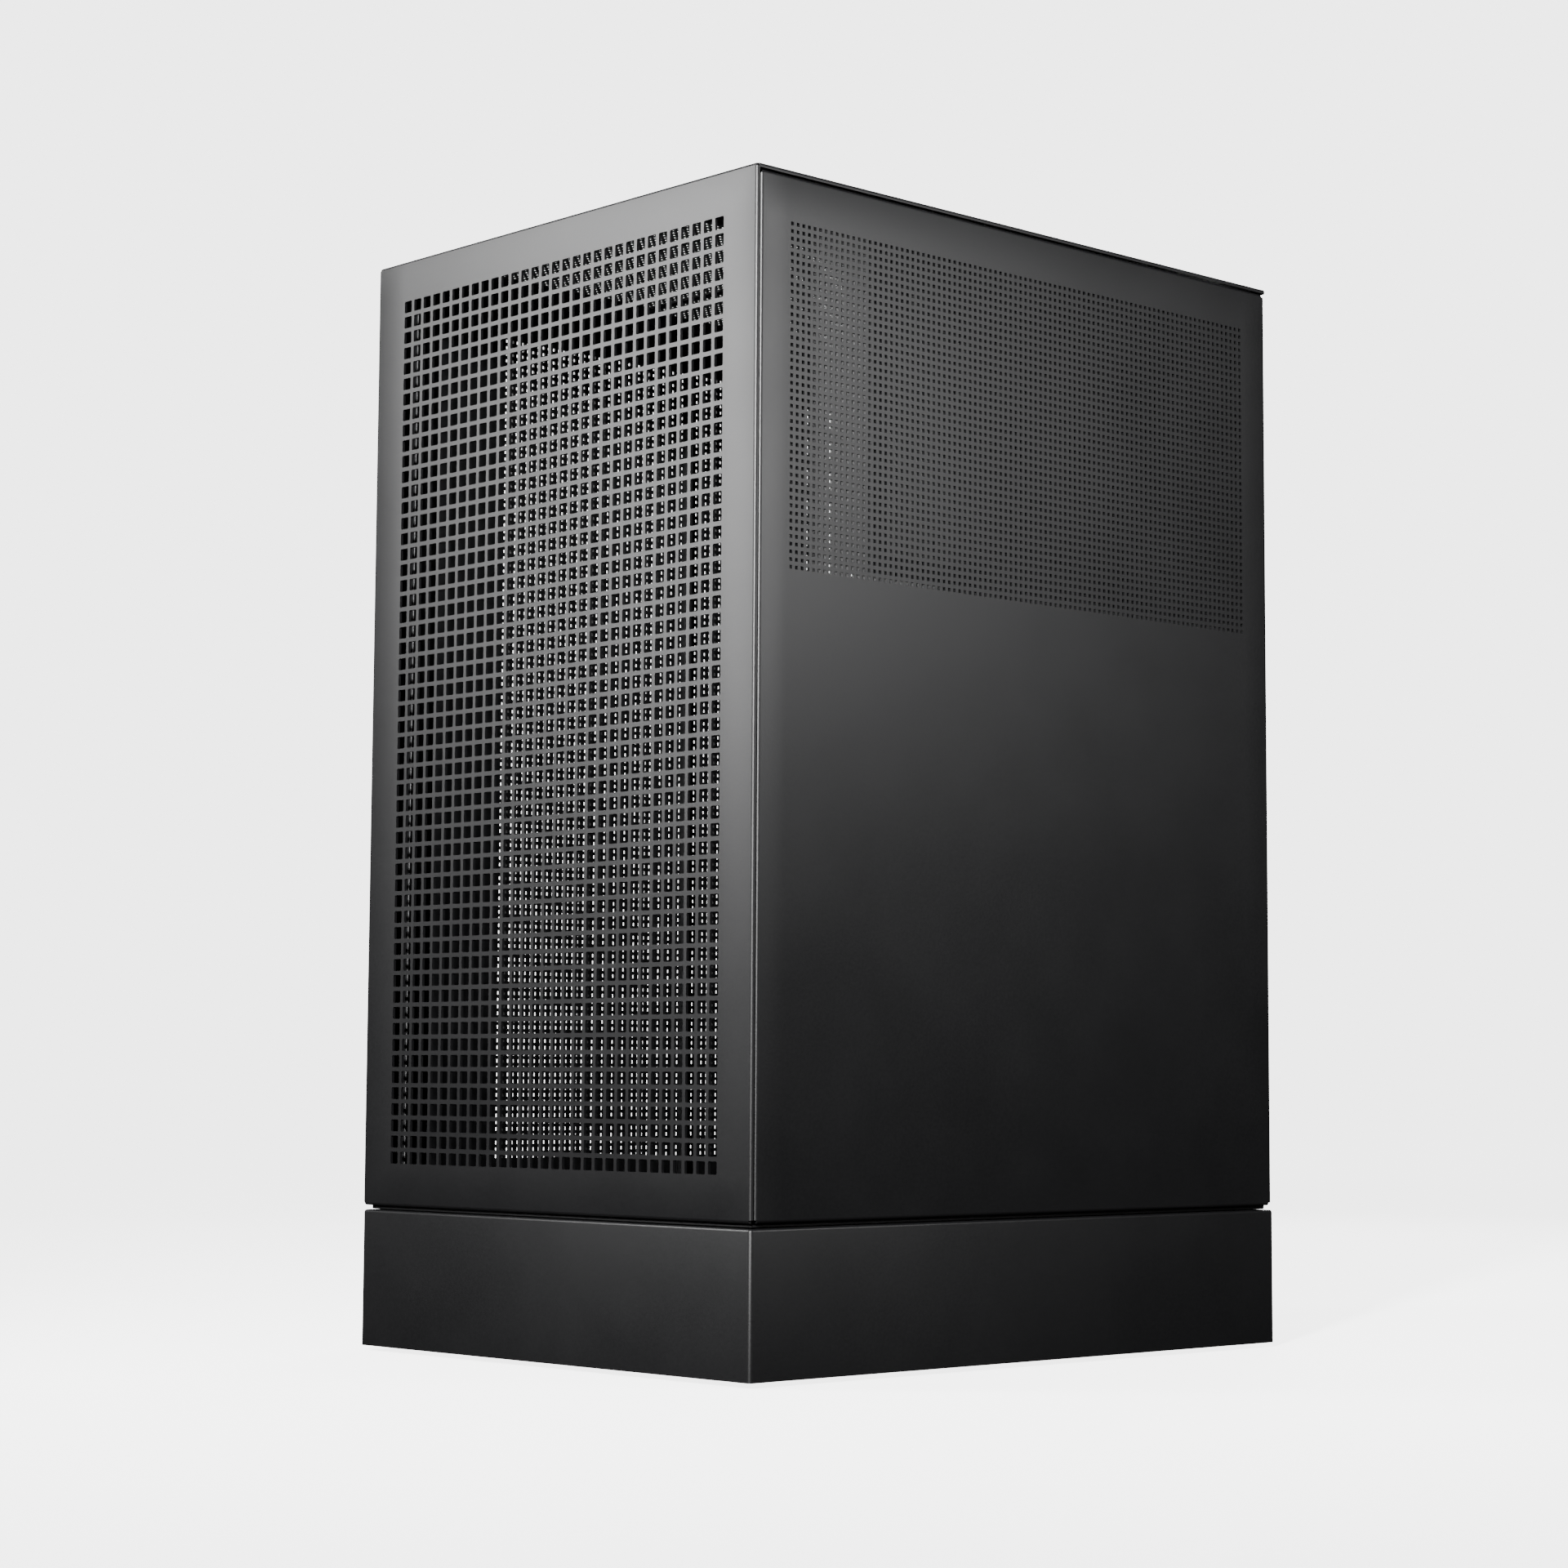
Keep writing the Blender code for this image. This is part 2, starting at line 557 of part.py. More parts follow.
# ---------------------------------------------------------------- brackets, covers and screws
def make_brackets(finish):
    bracket = box((-PSU_HALF_W, PSU_FRONT, PSU_Z), (PSU_HALF_W, PSU_REAR, PSU_Z + 1.2))
    lug_y = FRAME_FRONT + SHEET + GAP
    join(bracket, box((-PSU_HALF_W, lug_y, PSU_Z), (PSU_HALF_W, PSU_FRONT + 1, PSU_Z + 1.2)))
    for side in (-1, 1):
        reach = FRAME_HALF_W - SHEET - GAP
        x = sorted((side * (PSU_HALF_W - 2), side * reach))
        join(bracket, box((x[0], PSU_FRONT + 16, PSU_Z), (x[1], PSU_FRONT + 36, PSU_Z + 1.2)))
    cut(bracket, box((-62, PSU_FRONT + 4, PSU_Z - 5), (62, PSU_REAR - 4, PSU_Z + 5)))
    middle = (PSU_FRONT + PSU_REAR) / 2
    for sx in (-1, 1):
        for sy in (-1, 1):
            x, y = sx * 69.0, middle + sy * 32.0
            cut(bracket, rod((x, y, PSU_Z - 3), (x, y, PSU_Z + 4), 2.0, 12))
    as_part(bracket, "power_supply_bracket", finish["frame"])

    x0, x1 = TRAY_X + SHEET + GAP, TRAY_X + 9.4
    caddy = box((x1 - SHEET, 0, 84), (x1, 100, 154))
    join(
        caddy,
        box((x0, 0, 84), (x1, 100, 85)),
        box((x0, 0, 153), (x1, 100, 154)),
    )
    cut(caddy, box((x0 - 2, 20, 100), (x1 + 3, 80, 138)))
    as_part(caddy, "drive_bracket", finish["frame"])


def make_slot_covers(finish):
    front = REAR_WALL_Y + SHEET + GAP
    for number, centre in enumerate(SLOT_CENTRES, 1):
        cover = box((-30, front, centre - 9.2), (91, front + 0.8, centre + 9.2))
        slot = box((-4, front - 2, centre - 4), (8, front + 3, centre + 4))
        cut(cover, repeated(slot, 5, (17, 0, 0)))
        cut(cover, rod((-22, front - 2, centre), (-22, front + 3, centre), 1.9, 12))
        as_part(cover, f"slot_cover_{number}", finish["frame"])
        head_y = front + 0.8 + GAP
        screw = rod((-22, head_y, centre), (-22, head_y + 1.5, centre), 3.6, 20)
        join(screw, rod((-22, REAR_WALL_Y - 5, centre), (-22, head_y + 0.7, centre), 1.5, 12))
        as_part(screw, f"slot_screw_{number}", finish["dark_screw"])


def make_inlet(finish):
    """A C14 mains inlet, its socket facing the rear."""
    front = REAR_WALL_Y + SHEET + GAP
    inlet = box((INLET_X - 25, front, INLET_Z - 14), (INLET_X + 25, front + 2.2, INLET_Z + 14))
    join(inlet, box((INLET_X - 14, 116, INLET_Z - 10.5), (INLET_X + 14, front + 1.5, INLET_Z + 10.5)))
    cut(inlet, box((INLET_X - 12, 121, INLET_Z - 8), (INLET_X + 12, front + 5, INLET_Z + 8)))
    as_part(inlet, "mains_inlet", finish["nylon"])


# ---------------------------------------------------------------- rear fan
def fan_blade(angle):
    """One curved, pitched blade: a grid laid round the shaft, then thickened."""
    root, tip = 19.0, 56.0
    sweep, chord = math.radians(22), math.radians(34)
    front, back = 3.5, 20.5
    bpy.ops.mesh.primitive_grid_add(x_subdivisions=4, y_subdivisions=4, size=1)
    blade = bpy.context.object
    middle_y = FAN_BACK - FAN_DEPTH
    for point in blade.data.vertices:
        outward, across = point.co.x + 0.5, point.co.y + 0.5
        radius = root + (tip - root) * outward
        turn = angle + sweep * outward**2 + chord * (across - 0.5)
        depth = front + (back - front) * (0.5 + (across - 0.5) * (1 - 0.35 * outward))
        point.co = Vector((radius * math.cos(turn), depth, radius * math.sin(turn))) * MM
    blade.location = Vector((FAN_X, middle_y, FAN_Z)) * MM
    bpy.ops.object.transform_apply(location=True, rotation=True, scale=True)
    wall = blade.modifiers.new("wall", "SOLIDIFY")
    wall.thickness = 1.6 * MM
    wall.offset = 0
    return settle(blade)


def make_fan(finish):
    half = FAN_SIZE / 2
    front = FAN_BACK - FAN_DEPTH
    frame = box((FAN_X - half, front, FAN_Z - half), (FAN_X + half, FAN_BACK, FAN_Z + half))
    round_edges(frame, 5.0, lambda _middle, along: abs(along.y) > 0.9 * along.length, 3)
    cut(frame, rod((FAN_X, front - 5, FAN_Z), (FAN_X, FAN_BACK + 5, FAN_Z), FAN_BORE, 48))
    settle(frame)
    for turn in range(4):
        strut = box((16, FAN_BACK - 3.2, -2), (FAN_BORE + 1.5, FAN_BACK - 0.8, 2))
        bpy.context.view_layer.update()
        middle = Matrix.Translation(Vector((FAN_X, 0, FAN_Z)) * MM)
        spin = Matrix.Rotation(math.radians(90 * turn + 20), 4, "Y")
        strut.matrix_world = middle @ spin @ strut.matrix_world
        join(frame, strut)
    join(frame, rod((FAN_X, FAN_BACK - 3.5, FAN_Z), (FAN_X, FAN_BACK - 0.5, FAN_Z), 20.0, 32))
    pitch = FAN_HOLE_PITCH / 2
    for sx in (-1, 1):
        for sz in (-1, 1):
            x, z = FAN_X + sx * pitch, FAN_Z + sz * pitch
            cut(frame, rod((x, front - 2, z), (x, FAN_BACK + 2, z), 2.2, 12))
    as_part(frame, "fan_frame", finish["plastic"])

    hub_front, hub_back = front + 2.0, FAN_BACK - 4.5
    rotor = rod((FAN_X, hub_front, FAN_Z), (FAN_X, hub_back, FAN_Z), 21.0, 32)
    round_edges(rotor, 2.0, lambda middle, along: middle.y < 0 and abs(along.y) < 0.1 * along.length, 2)
    for k in range(BLADES):
        join(rotor, fan_blade(2 * math.pi * k / BLADES))
    as_part(rotor, "fan_rotor", finish["plastic"])

    for sx, side in ((-1, "left"), (1, "right")):
        for sz, level in ((-1, "lower"), (1, "upper")):
            x, z = FAN_X + sx * pitch, FAN_Z + sz * pitch
            head = REAR_WALL_Y + SHEET + GAP
            screw = rod((x, head, z), (x, head + 1.8, z), 3.9, 20)
            join(screw, rod((x, REAR_WALL_Y - 10, z), (x, head + 0.9, z), 1.9, 12))
            as_part(screw, f"fan_screw_{level}_{side}", finish["dark_screw"])


def main():
    empty_scene()
    finish = make_materials()
    make_plinth(finish)
    make_controls(finish)
    make_front_skin(finish)
    make_side_skin("right_panel", 1, -HALF_D + VENT_MARGIN, RIGHT_VENT_BOTTOM, finish)
    make_side_skin("left_panel", -1, LEFT_VENT_FRONT, LEFT_VENT_BOTTOM, finish)
    make_top_skin(finish)
    make_front_frame(finish)
    make_rear_wall(finish)
    make_frame_ends(finish)
    make_tray(finish)
    make_grommets(finish)
    make_brackets(finish)
    make_slot_covers(finish)
    make_inlet(finish)
    make_fan(finish)


main()
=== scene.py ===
import json
import math

import bmesh
import bpy
from mathutils import Matrix, Vector


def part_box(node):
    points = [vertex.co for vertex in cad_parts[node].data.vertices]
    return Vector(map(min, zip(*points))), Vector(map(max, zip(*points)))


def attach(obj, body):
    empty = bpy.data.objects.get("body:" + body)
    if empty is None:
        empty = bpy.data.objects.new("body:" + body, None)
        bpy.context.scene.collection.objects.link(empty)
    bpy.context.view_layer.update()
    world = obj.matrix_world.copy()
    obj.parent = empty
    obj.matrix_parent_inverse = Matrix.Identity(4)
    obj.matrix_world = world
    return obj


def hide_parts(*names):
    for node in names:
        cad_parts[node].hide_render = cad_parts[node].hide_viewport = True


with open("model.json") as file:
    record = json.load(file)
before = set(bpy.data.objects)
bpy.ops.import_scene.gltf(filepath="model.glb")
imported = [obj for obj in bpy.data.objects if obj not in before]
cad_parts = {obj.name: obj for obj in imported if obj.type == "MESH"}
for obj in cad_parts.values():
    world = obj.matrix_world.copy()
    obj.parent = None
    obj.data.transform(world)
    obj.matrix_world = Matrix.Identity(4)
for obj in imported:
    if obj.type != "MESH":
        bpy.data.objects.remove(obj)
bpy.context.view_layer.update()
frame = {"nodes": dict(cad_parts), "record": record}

MM = 0.001
X, Y, Z = Vector((1, 0, 0)), Vector((0, 1, 0)), Vector((0, 0, 1))

# Main planes of the chassis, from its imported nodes, in metres.
SKIRT_LOW, SKIRT_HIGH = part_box("plinth_skirt")
FRONT_LOW, FRONT_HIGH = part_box("front_panel")
RIGHT_LOW, RIGHT_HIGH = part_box("right_panel")
LEFT_LOW, LEFT_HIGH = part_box("left_panel")
TOP_LOW, TOP_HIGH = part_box("top_panel")
WALL_LOW, WALL_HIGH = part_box("rear_wall")

COARSE_PITCH = 6.2 * MM
COARSE_WEB = 1.6 * MM
COARSE_CORNER = 0.35 * MM
FINE_PITCH = 2.7435 * MM
FINE_WEB = 1.4 * MM
FINE_MARGIN = 15.3 * MM  # from a skin's outline to its first row of fine holes
SHEET = 1.1 * MM
TOP_SHEET = 0.3 * MM
SKIN_BEND = 1.15 * MM
PORT_CLEARANCE = 0.4 * MM
BUTTON_RADIUS = 7.0 * MM
AUDIO_RADIUS = 3.4 * MM
INLET_SCREW_REACH = 20 * MM  # from the mains inlet's middle to its screws
CLOUD_SIZE = 40 * MM  # the broad drift of colour in every finish
BACKDROP = 4.0  # radiance of the white backdrop behind the object
ROOM = 0.02  # radiance of the room, where only reflections see it
CORNER_HEIGHT = 0.4


# ---------------------------------------------------------------- edit-mode helpers
def object_mode():
    if bpy.context.object and bpy.context.object.mode != "OBJECT":
        bpy.ops.object.mode_set(mode="OBJECT")


def deselect():
    object_mode()
    bpy.ops.object.select_all(action="DESELECT")


def only(obj):
    deselect()
    obj.select_set(True)
    bpy.context.view_layer.objects.active = obj
    return obj


def edit(kind="FACE"):
    bpy.ops.object.mode_set(mode="EDIT")
    bpy.ops.mesh.select_mode(type=kind)


def pick(kind, test):
    """Selects the faces, edges or vertices of the mesh being edited that pass a test of them."""
    bpy.ops.mesh.select_mode(type={"faces": "FACE", "edges": "EDGE", "verts": "VERT"}[kind])
    bpy.ops.mesh.select_all(action="DESELECT")
    mesh = bmesh.from_edit_mesh(bpy.context.object.data)
    for part in getattr(mesh, kind):
        if test(part):
            part.select_set(True)
    mesh.select_flush_mode()
    bmesh.update_edit_mesh(bpy.context.object.data)


def middle(part):
    """The middle of a face or an edge."""
    return sum((v.co for v in part.verts), Vector()) / len(part.verts)


def extrude(move):
    bpy.ops.mesh.extrude_region_move(TRANSFORM_OT_translate={"value": move})


def modify(obj, kind, **settings):
    """Adds a modifier to an object and applies it."""
    only(obj)
    step = obj.modifiers.new(kind.lower(), kind)
    for name, value in settings.items():
        setattr(step, name, value)
    bpy.ops.object.modifier_apply(modifier=step.name)
    return obj


def row_box(node):
    """The corners and the middle of a node's box."""
    low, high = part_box(node)
    return low, high, (low + high) / 2


def block(low, high):
    """A cube shaped to two corners, ready to be worked on."""
    deselect()
    low, high = Vector(low), Vector(high)
    bpy.ops.mesh.primitive_cube_add(size=1, location=(low + high) / 2)
    made = bpy.context.object
    made.scale = high - low
    bpy.ops.object.transform_apply(location=True, rotation=True, scale=True)
    return made


def turned(centre, axis, radius, length, sides=32):
    """A cylinder whose middle is at centre, along an axis."""
    deselect()
    bpy.ops.mesh.primitive_cylinder_add(vertices=sides, radius=radius, depth=length)
    made = bpy.context.object
    made.matrix_world = Matrix.Translation(centre) @ axis.to_track_quat("Z", "Y").to_matrix().to_4x4()
    bpy.ops.object.transform_apply(location=True, rotation=True, scale=True)
    return made


def carve(obj, *cutters):
    """Cuts other shapes out of an object, and removes them."""
    for cutter in cutters:
        modify(obj, "BOOLEAN", object=cutter, operation="DIFFERENCE", solver="EXACT")
        bpy.data.objects.remove(cutter)
    return obj


def united(obj, other):
    """Makes one closed body of two, and removes the second."""
    modify(obj, "BOOLEAN", object=other, operation="UNION", solver="EXACT")
    bpy.data.objects.remove(other)
    return obj


def joined(*objs):
    only(objs[0])
    for obj in objs:
        obj.select_set(True)
    bpy.ops.object.join()
    return bpy.context.object


def soften(obj, width, segments=2, angle=40):
    limit = math.radians(angle)
    return modify(obj, "BEVEL", width=width, segments=segments, limit_method="ANGLE", angle_limit=limit)


def smooth(obj, angle=35):
    only(obj)
    bpy.ops.object.shade_smooth_by_angle(angle=math.radians(angle))
    return obj


def place(obj, name, body, material, slot, *nodes):
    """Names a finished piece and puts it on its body, in place of the solid nodes that it stands for."""
    object_mode()
    obj.name = name
    obj.data.name = name
    obj.data.materials.clear()
    obj.data.materials.append(material)
    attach(obj, body)
    if nodes:
        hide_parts(*nodes)
    return obj


# ---------------------------------------------------------------- materials
def srgb(code):
    """A hex colour, turned to the linear values that a shader takes."""
    parts = [int(code[i : i + 2], 16) / 255 for i in (1, 3, 5)]
    return (*[p / 12.92 if p <= 0.04045 else ((p + 0.055) / 1.055) ** 2.4 for p in parts], 1.0)


def add_node(tree, kind, inputs=(), **settings):
    """Adds a node with its settings, and sets or links its inputs."""
    made = tree.nodes.new(kind)
    for name, value in settings.items():
        setattr(made, name, value)
    for socket, value in dict(inputs).items():
        if isinstance(value, bpy.types.NodeSocket):
            tree.links.new(value, made.inputs[socket])
        else:
            made.inputs[socket].default_value = value
    return made


def surface(name, hex_low, hex_high, rough, grain_mm, grain_depth_mm, **constants):
    """A finish with a grain of its real size: colour and roughness drift between two values over clouds,
    and a fine grain stands up as bump."""
    drift = {"From Min": 0.6, "From Max": 1.4}
    made = bpy.data.materials.new(name)
    made.use_nodes = True
    tree = made.node_tree
    shader = tree.nodes["Principled BSDF"]
    for socket, value in constants.items():
        shader.inputs[socket.replace("_", " ")].default_value = value
    where = add_node(tree, "ShaderNodeTexCoord").outputs["Object"]
    grain = add_node(
        tree,
        "ShaderNodeTexNoise",
        {"Vector": where, "Scale": 1 / (grain_mm * MM), "Detail": 3.0, "Roughness": 0.55},
    ).outputs["Fac"]
    cloud = add_node(
        tree,
        "ShaderNodeTexNoise",
        {"Vector": where, "Scale": 1 / CLOUD_SIZE, "Detail": 2.0, "Roughness": 0.5},
    ).outputs["Fac"]
    both = add_node(tree, "ShaderNodeMath", {0: cloud, 1: grain}, operation="ADD").outputs["Value"]
    colour = add_node(tree, "ShaderNodeMapRange", {"Value": both, **drift}).outputs["Result"]
    tint = add_node(
        tree, "ShaderNodeMix", {"Factor": colour, 6: srgb(hex_low), 7: srgb(hex_high)}, data_type="RGBA"
    ).outputs[2]
    shine = add_node(
        tree,
        "ShaderNodeMapRange",
        {"Value": both, **drift, "To Min": rough[0], "To Max": rough[1]},
    ).outputs["Result"]
    bump = add_node(
        tree, "ShaderNodeBump", {"Height": grain, "Strength": 1.0, "Distance": grain_depth_mm * MM}
    ).outputs["Normal"]
    tree.links.new(tint, shader.inputs["Base Color"])
    tree.links.new(shine, shader.inputs["Roughness"])
    tree.links.new(bump, shader.inputs["Normal"])
    return made


# Polyester powder coat on steel, sprayed and baked: a fine orange-peel texture that spreads every reflection.
powder_coat = surface(
    "powder_coated_steel", "#080809", "#0d0d0e", (0.4, 0.44), 1.1, 0.018, IOR=1.5, Specular_IOR_Level=0.35
)
# Electro-coated frame steel: thinner, smoother and a little darker than the skins' powder coat.
frame_paint = surface("black_painted_steel", "#0d0d0e", "#141415", (0.42, 0.52), 1.6, 0.008, IOR=1.5)
# Machine screws, zinc plated and black passivated: dark metal with a dull gloss.
black_zinc = surface("black_zinc_screw", "#2b2b2d", "#3a3a3b", (0.3, 0.42), 0.5, 0.006, Metallic=1.0)
# Hexagon brass, turned: warm metal with fine tool marks.
brass = surface("brass", "#b8914c", "#cfa75e", (0.24, 0.36), 0.4, 0.004, Metallic=1.0)
# Moulded silicone rubber: matt, with almost no reflection.
rubber = surface("black_rubber", "#141414", "#1c1c1c", (0.75, 0.88), 0.8, 0.02, IOR=1.42)
# ABS moulded in a spark-eroded tool: an even fine grain.
abs_plastic = surface("black_abs", "#151516", "#1b1b1c", (0.48, 0.58), 0.7, 0.012, IOR=1.54)
# Glass-filled PBT, as mains inlets are moulded: satin and dense black.
inlet_pbt = surface("black_nylon", "#101011", "#171718", (0.38, 0.5), 0.9, 0.008, IOR=1.55)
# Nickel plate on drawn steel shells: bright with a soft blur.
nickel = surface("nickel_plated_shell", "#b9b7b2", "#cbc9c4", (0.18, 0.3), 0.6, 0.003, Metallic=1.0)
# Solder mask on glass-epoxy board: glossy over a faint weave.
solder_mask = surface("black_circuit_board", "#0c100e", "#131815", (0.26, 0.36), 0.9, 0.006, IOR=1.5)
# Gold flash on spring contacts.
gold_flash = surface("gold_flash", "#c79a3f", "#d9b25a", (0.2, 0.3), 0.5, 0.003, Metallic=1.0)


# ---------------------------------------------------------------- punched and folded sheets
RIGHT, LEFT, UP, DOWN = X, -X, Y, -Y
FLAT = 1e-6


def punched_field(columns, rows, pitch, web, corner=0.0):
    """A flat lattice round its own middle, facing +Z, its holes still closed by faces of their own.
    Returns the object and a test that knows the faces of the holes."""
    hole = pitch - web
    deselect()
    first = Vector((-(columns - 1) / 2 * pitch, -(rows - 1) / 2 * pitch, 0))
    if corner:
        bpy.ops.mesh.primitive_plane_add(size=pitch, location=first)
        bpy.ops.object.transform_apply(location=True, rotation=True, scale=True)
        edit()
        bpy.ops.mesh.inset(thickness=web / 2)
        bpy.ops.mesh.bevel(affect="VERTICES", offset=corner, segments=1)
    else:
        bpy.ops.mesh.primitive_plane_add(size=hole, location=first)
        bpy.ops.object.transform_apply(location=True, rotation=True, scale=True)
        edit("EDGE")
        grow(RIGHT, web)
        grow(UP, web)
    object_mode()
    field = bpy.context.object
    for axis, count in ((0, columns), (1, rows)):
        step = [0, 0, 0]
        step[axis] = pitch
        modify(
            field,
            "ARRAY",
            count=count,
            use_relative_offset=False,
            use_constant_offset=True,
            constant_offset_displace=step,
            use_merge_vertices=True,
            merge_threshold=0.01 * MM,
        )
    if not corner:
        edit("EDGE")
        grow(LEFT, web)
        grow(DOWN, web)
        object_mode()
    area = hole * hole - 2 * corner * corner

    def is_hole(face):
        return abs(face.calc_area() - area) < 0.02 * area

    return field, is_hole


def reach_of(side):
    """How far the flat part of the sheet being edited goes towards a side."""
    mesh = bmesh.from_edit_mesh(bpy.context.object.data)
    return max(v.co.dot(side) for v in mesh.verts if abs(v.co.z) < FLAT)


def pick_side(side):
    far = reach_of(side) - FLAT
    pick("edges", lambda e: all(abs(v.co.z) < FLAT and v.co.dot(side) > far for v in e.verts))


def grow(side, distance):
    """Widens the sheet being edited on one side."""
    pick_side(side)
    extrude(side * distance)


def fold(side, radius, depth, steps=4):
    """Folds one side of the sheet being edited back round a quarter turn, to a depth behind its face."""
    pick_side(side)
    turns = [math.pi / 2 * i / steps for i in range(steps + 1)]
    points = [side * radius * math.sin(a) - Z * radius * (1 - math.cos(a)) for a in turns]
    for start, end in zip(points, points[1:]):
        extrude(end - start)
    if depth > radius:
        extrude(-Z * (depth - radius))


def outline(obj, right, left, up, down):
    """Widens a lattice to the distances of its flat part's four sides from the middle."""
    edit("EDGE")
    for side, distance in ((RIGHT, right), (LEFT, left), (UP, up), (DOWN, down)):
        grow(side, distance - reach_of(side))
    object_mode()
    return obj


def finish_sheet(obj, is_hole, across, upward, origin, thickness=SHEET):
    """Opens the holes, stands the sheet up so that its right and its top point the ways given, and gives
    it its thickness, away from its face."""
    only(obj)
    edit()
    pick("faces", is_hole)
    bpy.ops.mesh.delete(type="ONLY_FACE")
    bpy.ops.mesh.select_all(action="SELECT")
    bpy.ops.mesh.normals_make_consistent(inside=False)
    mesh = bmesh.from_edit_mesh(obj.data)
    flat = next(f for f in mesh.faces if abs(middle(f).z) < FLAT)
    if flat.normal.z < 0:
        bpy.ops.mesh.flip_normals()
    object_mode()
    facing = across.cross(upward)
    turn = Matrix((across, upward, facing)).transposed().to_4x4()
    obj.data.transform(Matrix.Translation(origin) @ turn)
    modify(obj, "SOLIDIFY", thickness=thickness, offset=-1.0, use_even_offset=True)
    return smooth(obj)


def make_front_skin():
    """Coarse square perforation over the whole face; all four sides folded back."""
    columns, rows, flange = 31, 55, 1.3 * MM
    width, height = FRONT_HIGH.x - FRONT_LOW.x, FRONT_HIGH.z - FRONT_LOW.z
    field, is_hole = punched_field(columns, rows, COARSE_PITCH, COARSE_WEB, COARSE_CORNER)
    flat_x, flat_y = width / 2 - SKIN_BEND, height / 2 - SKIN_BEND
    outline(field, flat_x, flat_x, flat_y, flat_y)
    edit("EDGE")
    for side in (RIGHT, LEFT, UP, DOWN):
        fold(side, SKIN_BEND, flange)
    origin = Vector((0, FRONT_LOW.y, (FRONT_LOW.z + FRONT_HIGH.z) / 2))
    finish_sheet(field, is_hole, X, Z, origin)
    place(field, "front_skin", "front_panel", powder_coat, "powder_coated_steel", "front_panel")


def make_side_skin(name, body, low, high, out, vent_front, vent_bottom):
    """One side skin: fine perforation over part of it, bent widely round the rear edge."""
    rear_bend, flange, rear_flange = 3.0 * MM, 5.5 * MM, 10 * MM
    vent_top = high.z - FINE_MARGIN
    vent_rear = high.y - FINE_MARGIN
    columns = round((vent_rear - vent_front) / FINE_PITCH)
    rows = round((vent_top - vent_bottom) / FINE_PITCH)
    field, is_hole = punched_field(columns, rows, FINE_PITCH, FINE_WEB)
    centre = Vector((0, (vent_front + vent_rear) / 2, (vent_top + vent_bottom) / 2))
    across = Y if out.x > 0 else -Y
    rear, front = (RIGHT, LEFT) if out.x > 0 else (LEFT, RIGHT)
    to_rear, to_front = high.y - rear_bend - centre.y, centre.y - low.y - SKIN_BEND
    outline(
        field,
        to_rear if rear is RIGHT else to_front,
        to_rear if rear is LEFT else to_front,
        high.z - SKIN_BEND - centre.z,
        centre.z - low.z - SKIN_BEND,
    )
    edit("EDGE")
    for side in (front, UP, DOWN):
        fold(side, SKIN_BEND, flange)
    fold(rear, rear_bend, rear_flange, steps=6)
    object_mode()
    centre.x = high.x if out.x > 0 else low.x
    finish_sheet(field, is_hole, across, Z, centre)
    place(field, name, body, powder_coat, "powder_coated_steel", body)


def make_top_skin():
    """Fine perforation nearly to the edges, which are folded down by no more than the skin's height."""
    bend, flange = 0.9 * MM, 1.6 * MM
    margin_x, margin_y = 19 * MM, 17 * MM
    centre = (TOP_LOW + TOP_HIGH) / 2
    half_x, half_y = (TOP_HIGH.x - TOP_LOW.x) / 2, (TOP_HIGH.y - TOP_LOW.y) / 2
    columns = int(2 * (half_x - margin_x) / FINE_PITCH)
    rows = int(2 * (half_y - margin_y) / FINE_PITCH)
    field, is_hole = punched_field(columns, rows, FINE_PITCH, FINE_WEB)
    outline(field, half_x - bend, half_x - bend, half_y - bend, half_y)
    edit("EDGE")
    for side in (RIGHT, LEFT, UP):
        fold(side, bend, flange)
    finish_sheet(field, is_hole, X, Y, Vector((centre.x, centre.y, TOP_HIGH.z)), TOP_SHEET)
    place(field, "top_skin", "top_panel", powder_coat, "powder_coated_steel", "top_panel")


# ---------------------------------------------------------------- plinth
def make_plinth():
    """One bent strip of steel: rounded upright corners, and a top edge rolled in to a lip."""
    corner, roll, wall, lip = 1.7 * MM, 1.0 * MM, 1.2 * MM, 9.0 * MM
    shell = block(SKIRT_LOW, SKIRT_HIGH)
    edit("EDGE")
    pick("edges", lambda e: abs(e.verts[0].co.z - e.verts[1].co.z) > FLAT)
    bpy.ops.mesh.bevel(offset=corner, segments=6)
    top = SKIRT_HIGH.z - FLAT
    pick("edges", lambda e: all(v.co.z > top for v in e.verts))
    bpy.ops.mesh.bevel(offset=roll, segments=4)
    pick("faces", lambda f: f.normal.z > 0.999)
    bpy.ops.mesh.inset(thickness=lip)
    bpy.ops.mesh.delete(type="FACE")
    pick("faces", lambda f: f.normal.z < -0.999)
    bpy.ops.mesh.delete(type="FACE")
    object_mode()
    modify(shell, "SOLIDIFY", thickness=wall, offset=-1.0, use_even_offset=True)

    reach = 3 * MM
    gap = Vector((0, PORT_CLEARANCE, PORT_CLEARANCE))
    cuts = []
    for node, rounding in (("usb_c_port", 2.0), ("usb_a_port_front", 0.5), ("usb_a_port_rear", 0.5)):
        low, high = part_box(node)
        low, high = low - gap, high + gap
        low.x, high.x = SKIRT_LOW.x - reach, SKIRT_LOW.x + reach
        cuts.append(slot_cutter(low, high, rounding * MM, axis=0))
    for node, radius in (("power_button", BUTTON_RADIUS), ("audio_jack", AUDIO_RADIUS)):
        centre = row_box(node)[2]
        centre.x = SKIRT_LOW.x
        cuts.append(turned(centre, X, radius + PORT_CLEARANCE, 2 * reach, 64))
    return carve(shell, joined(*cuts))


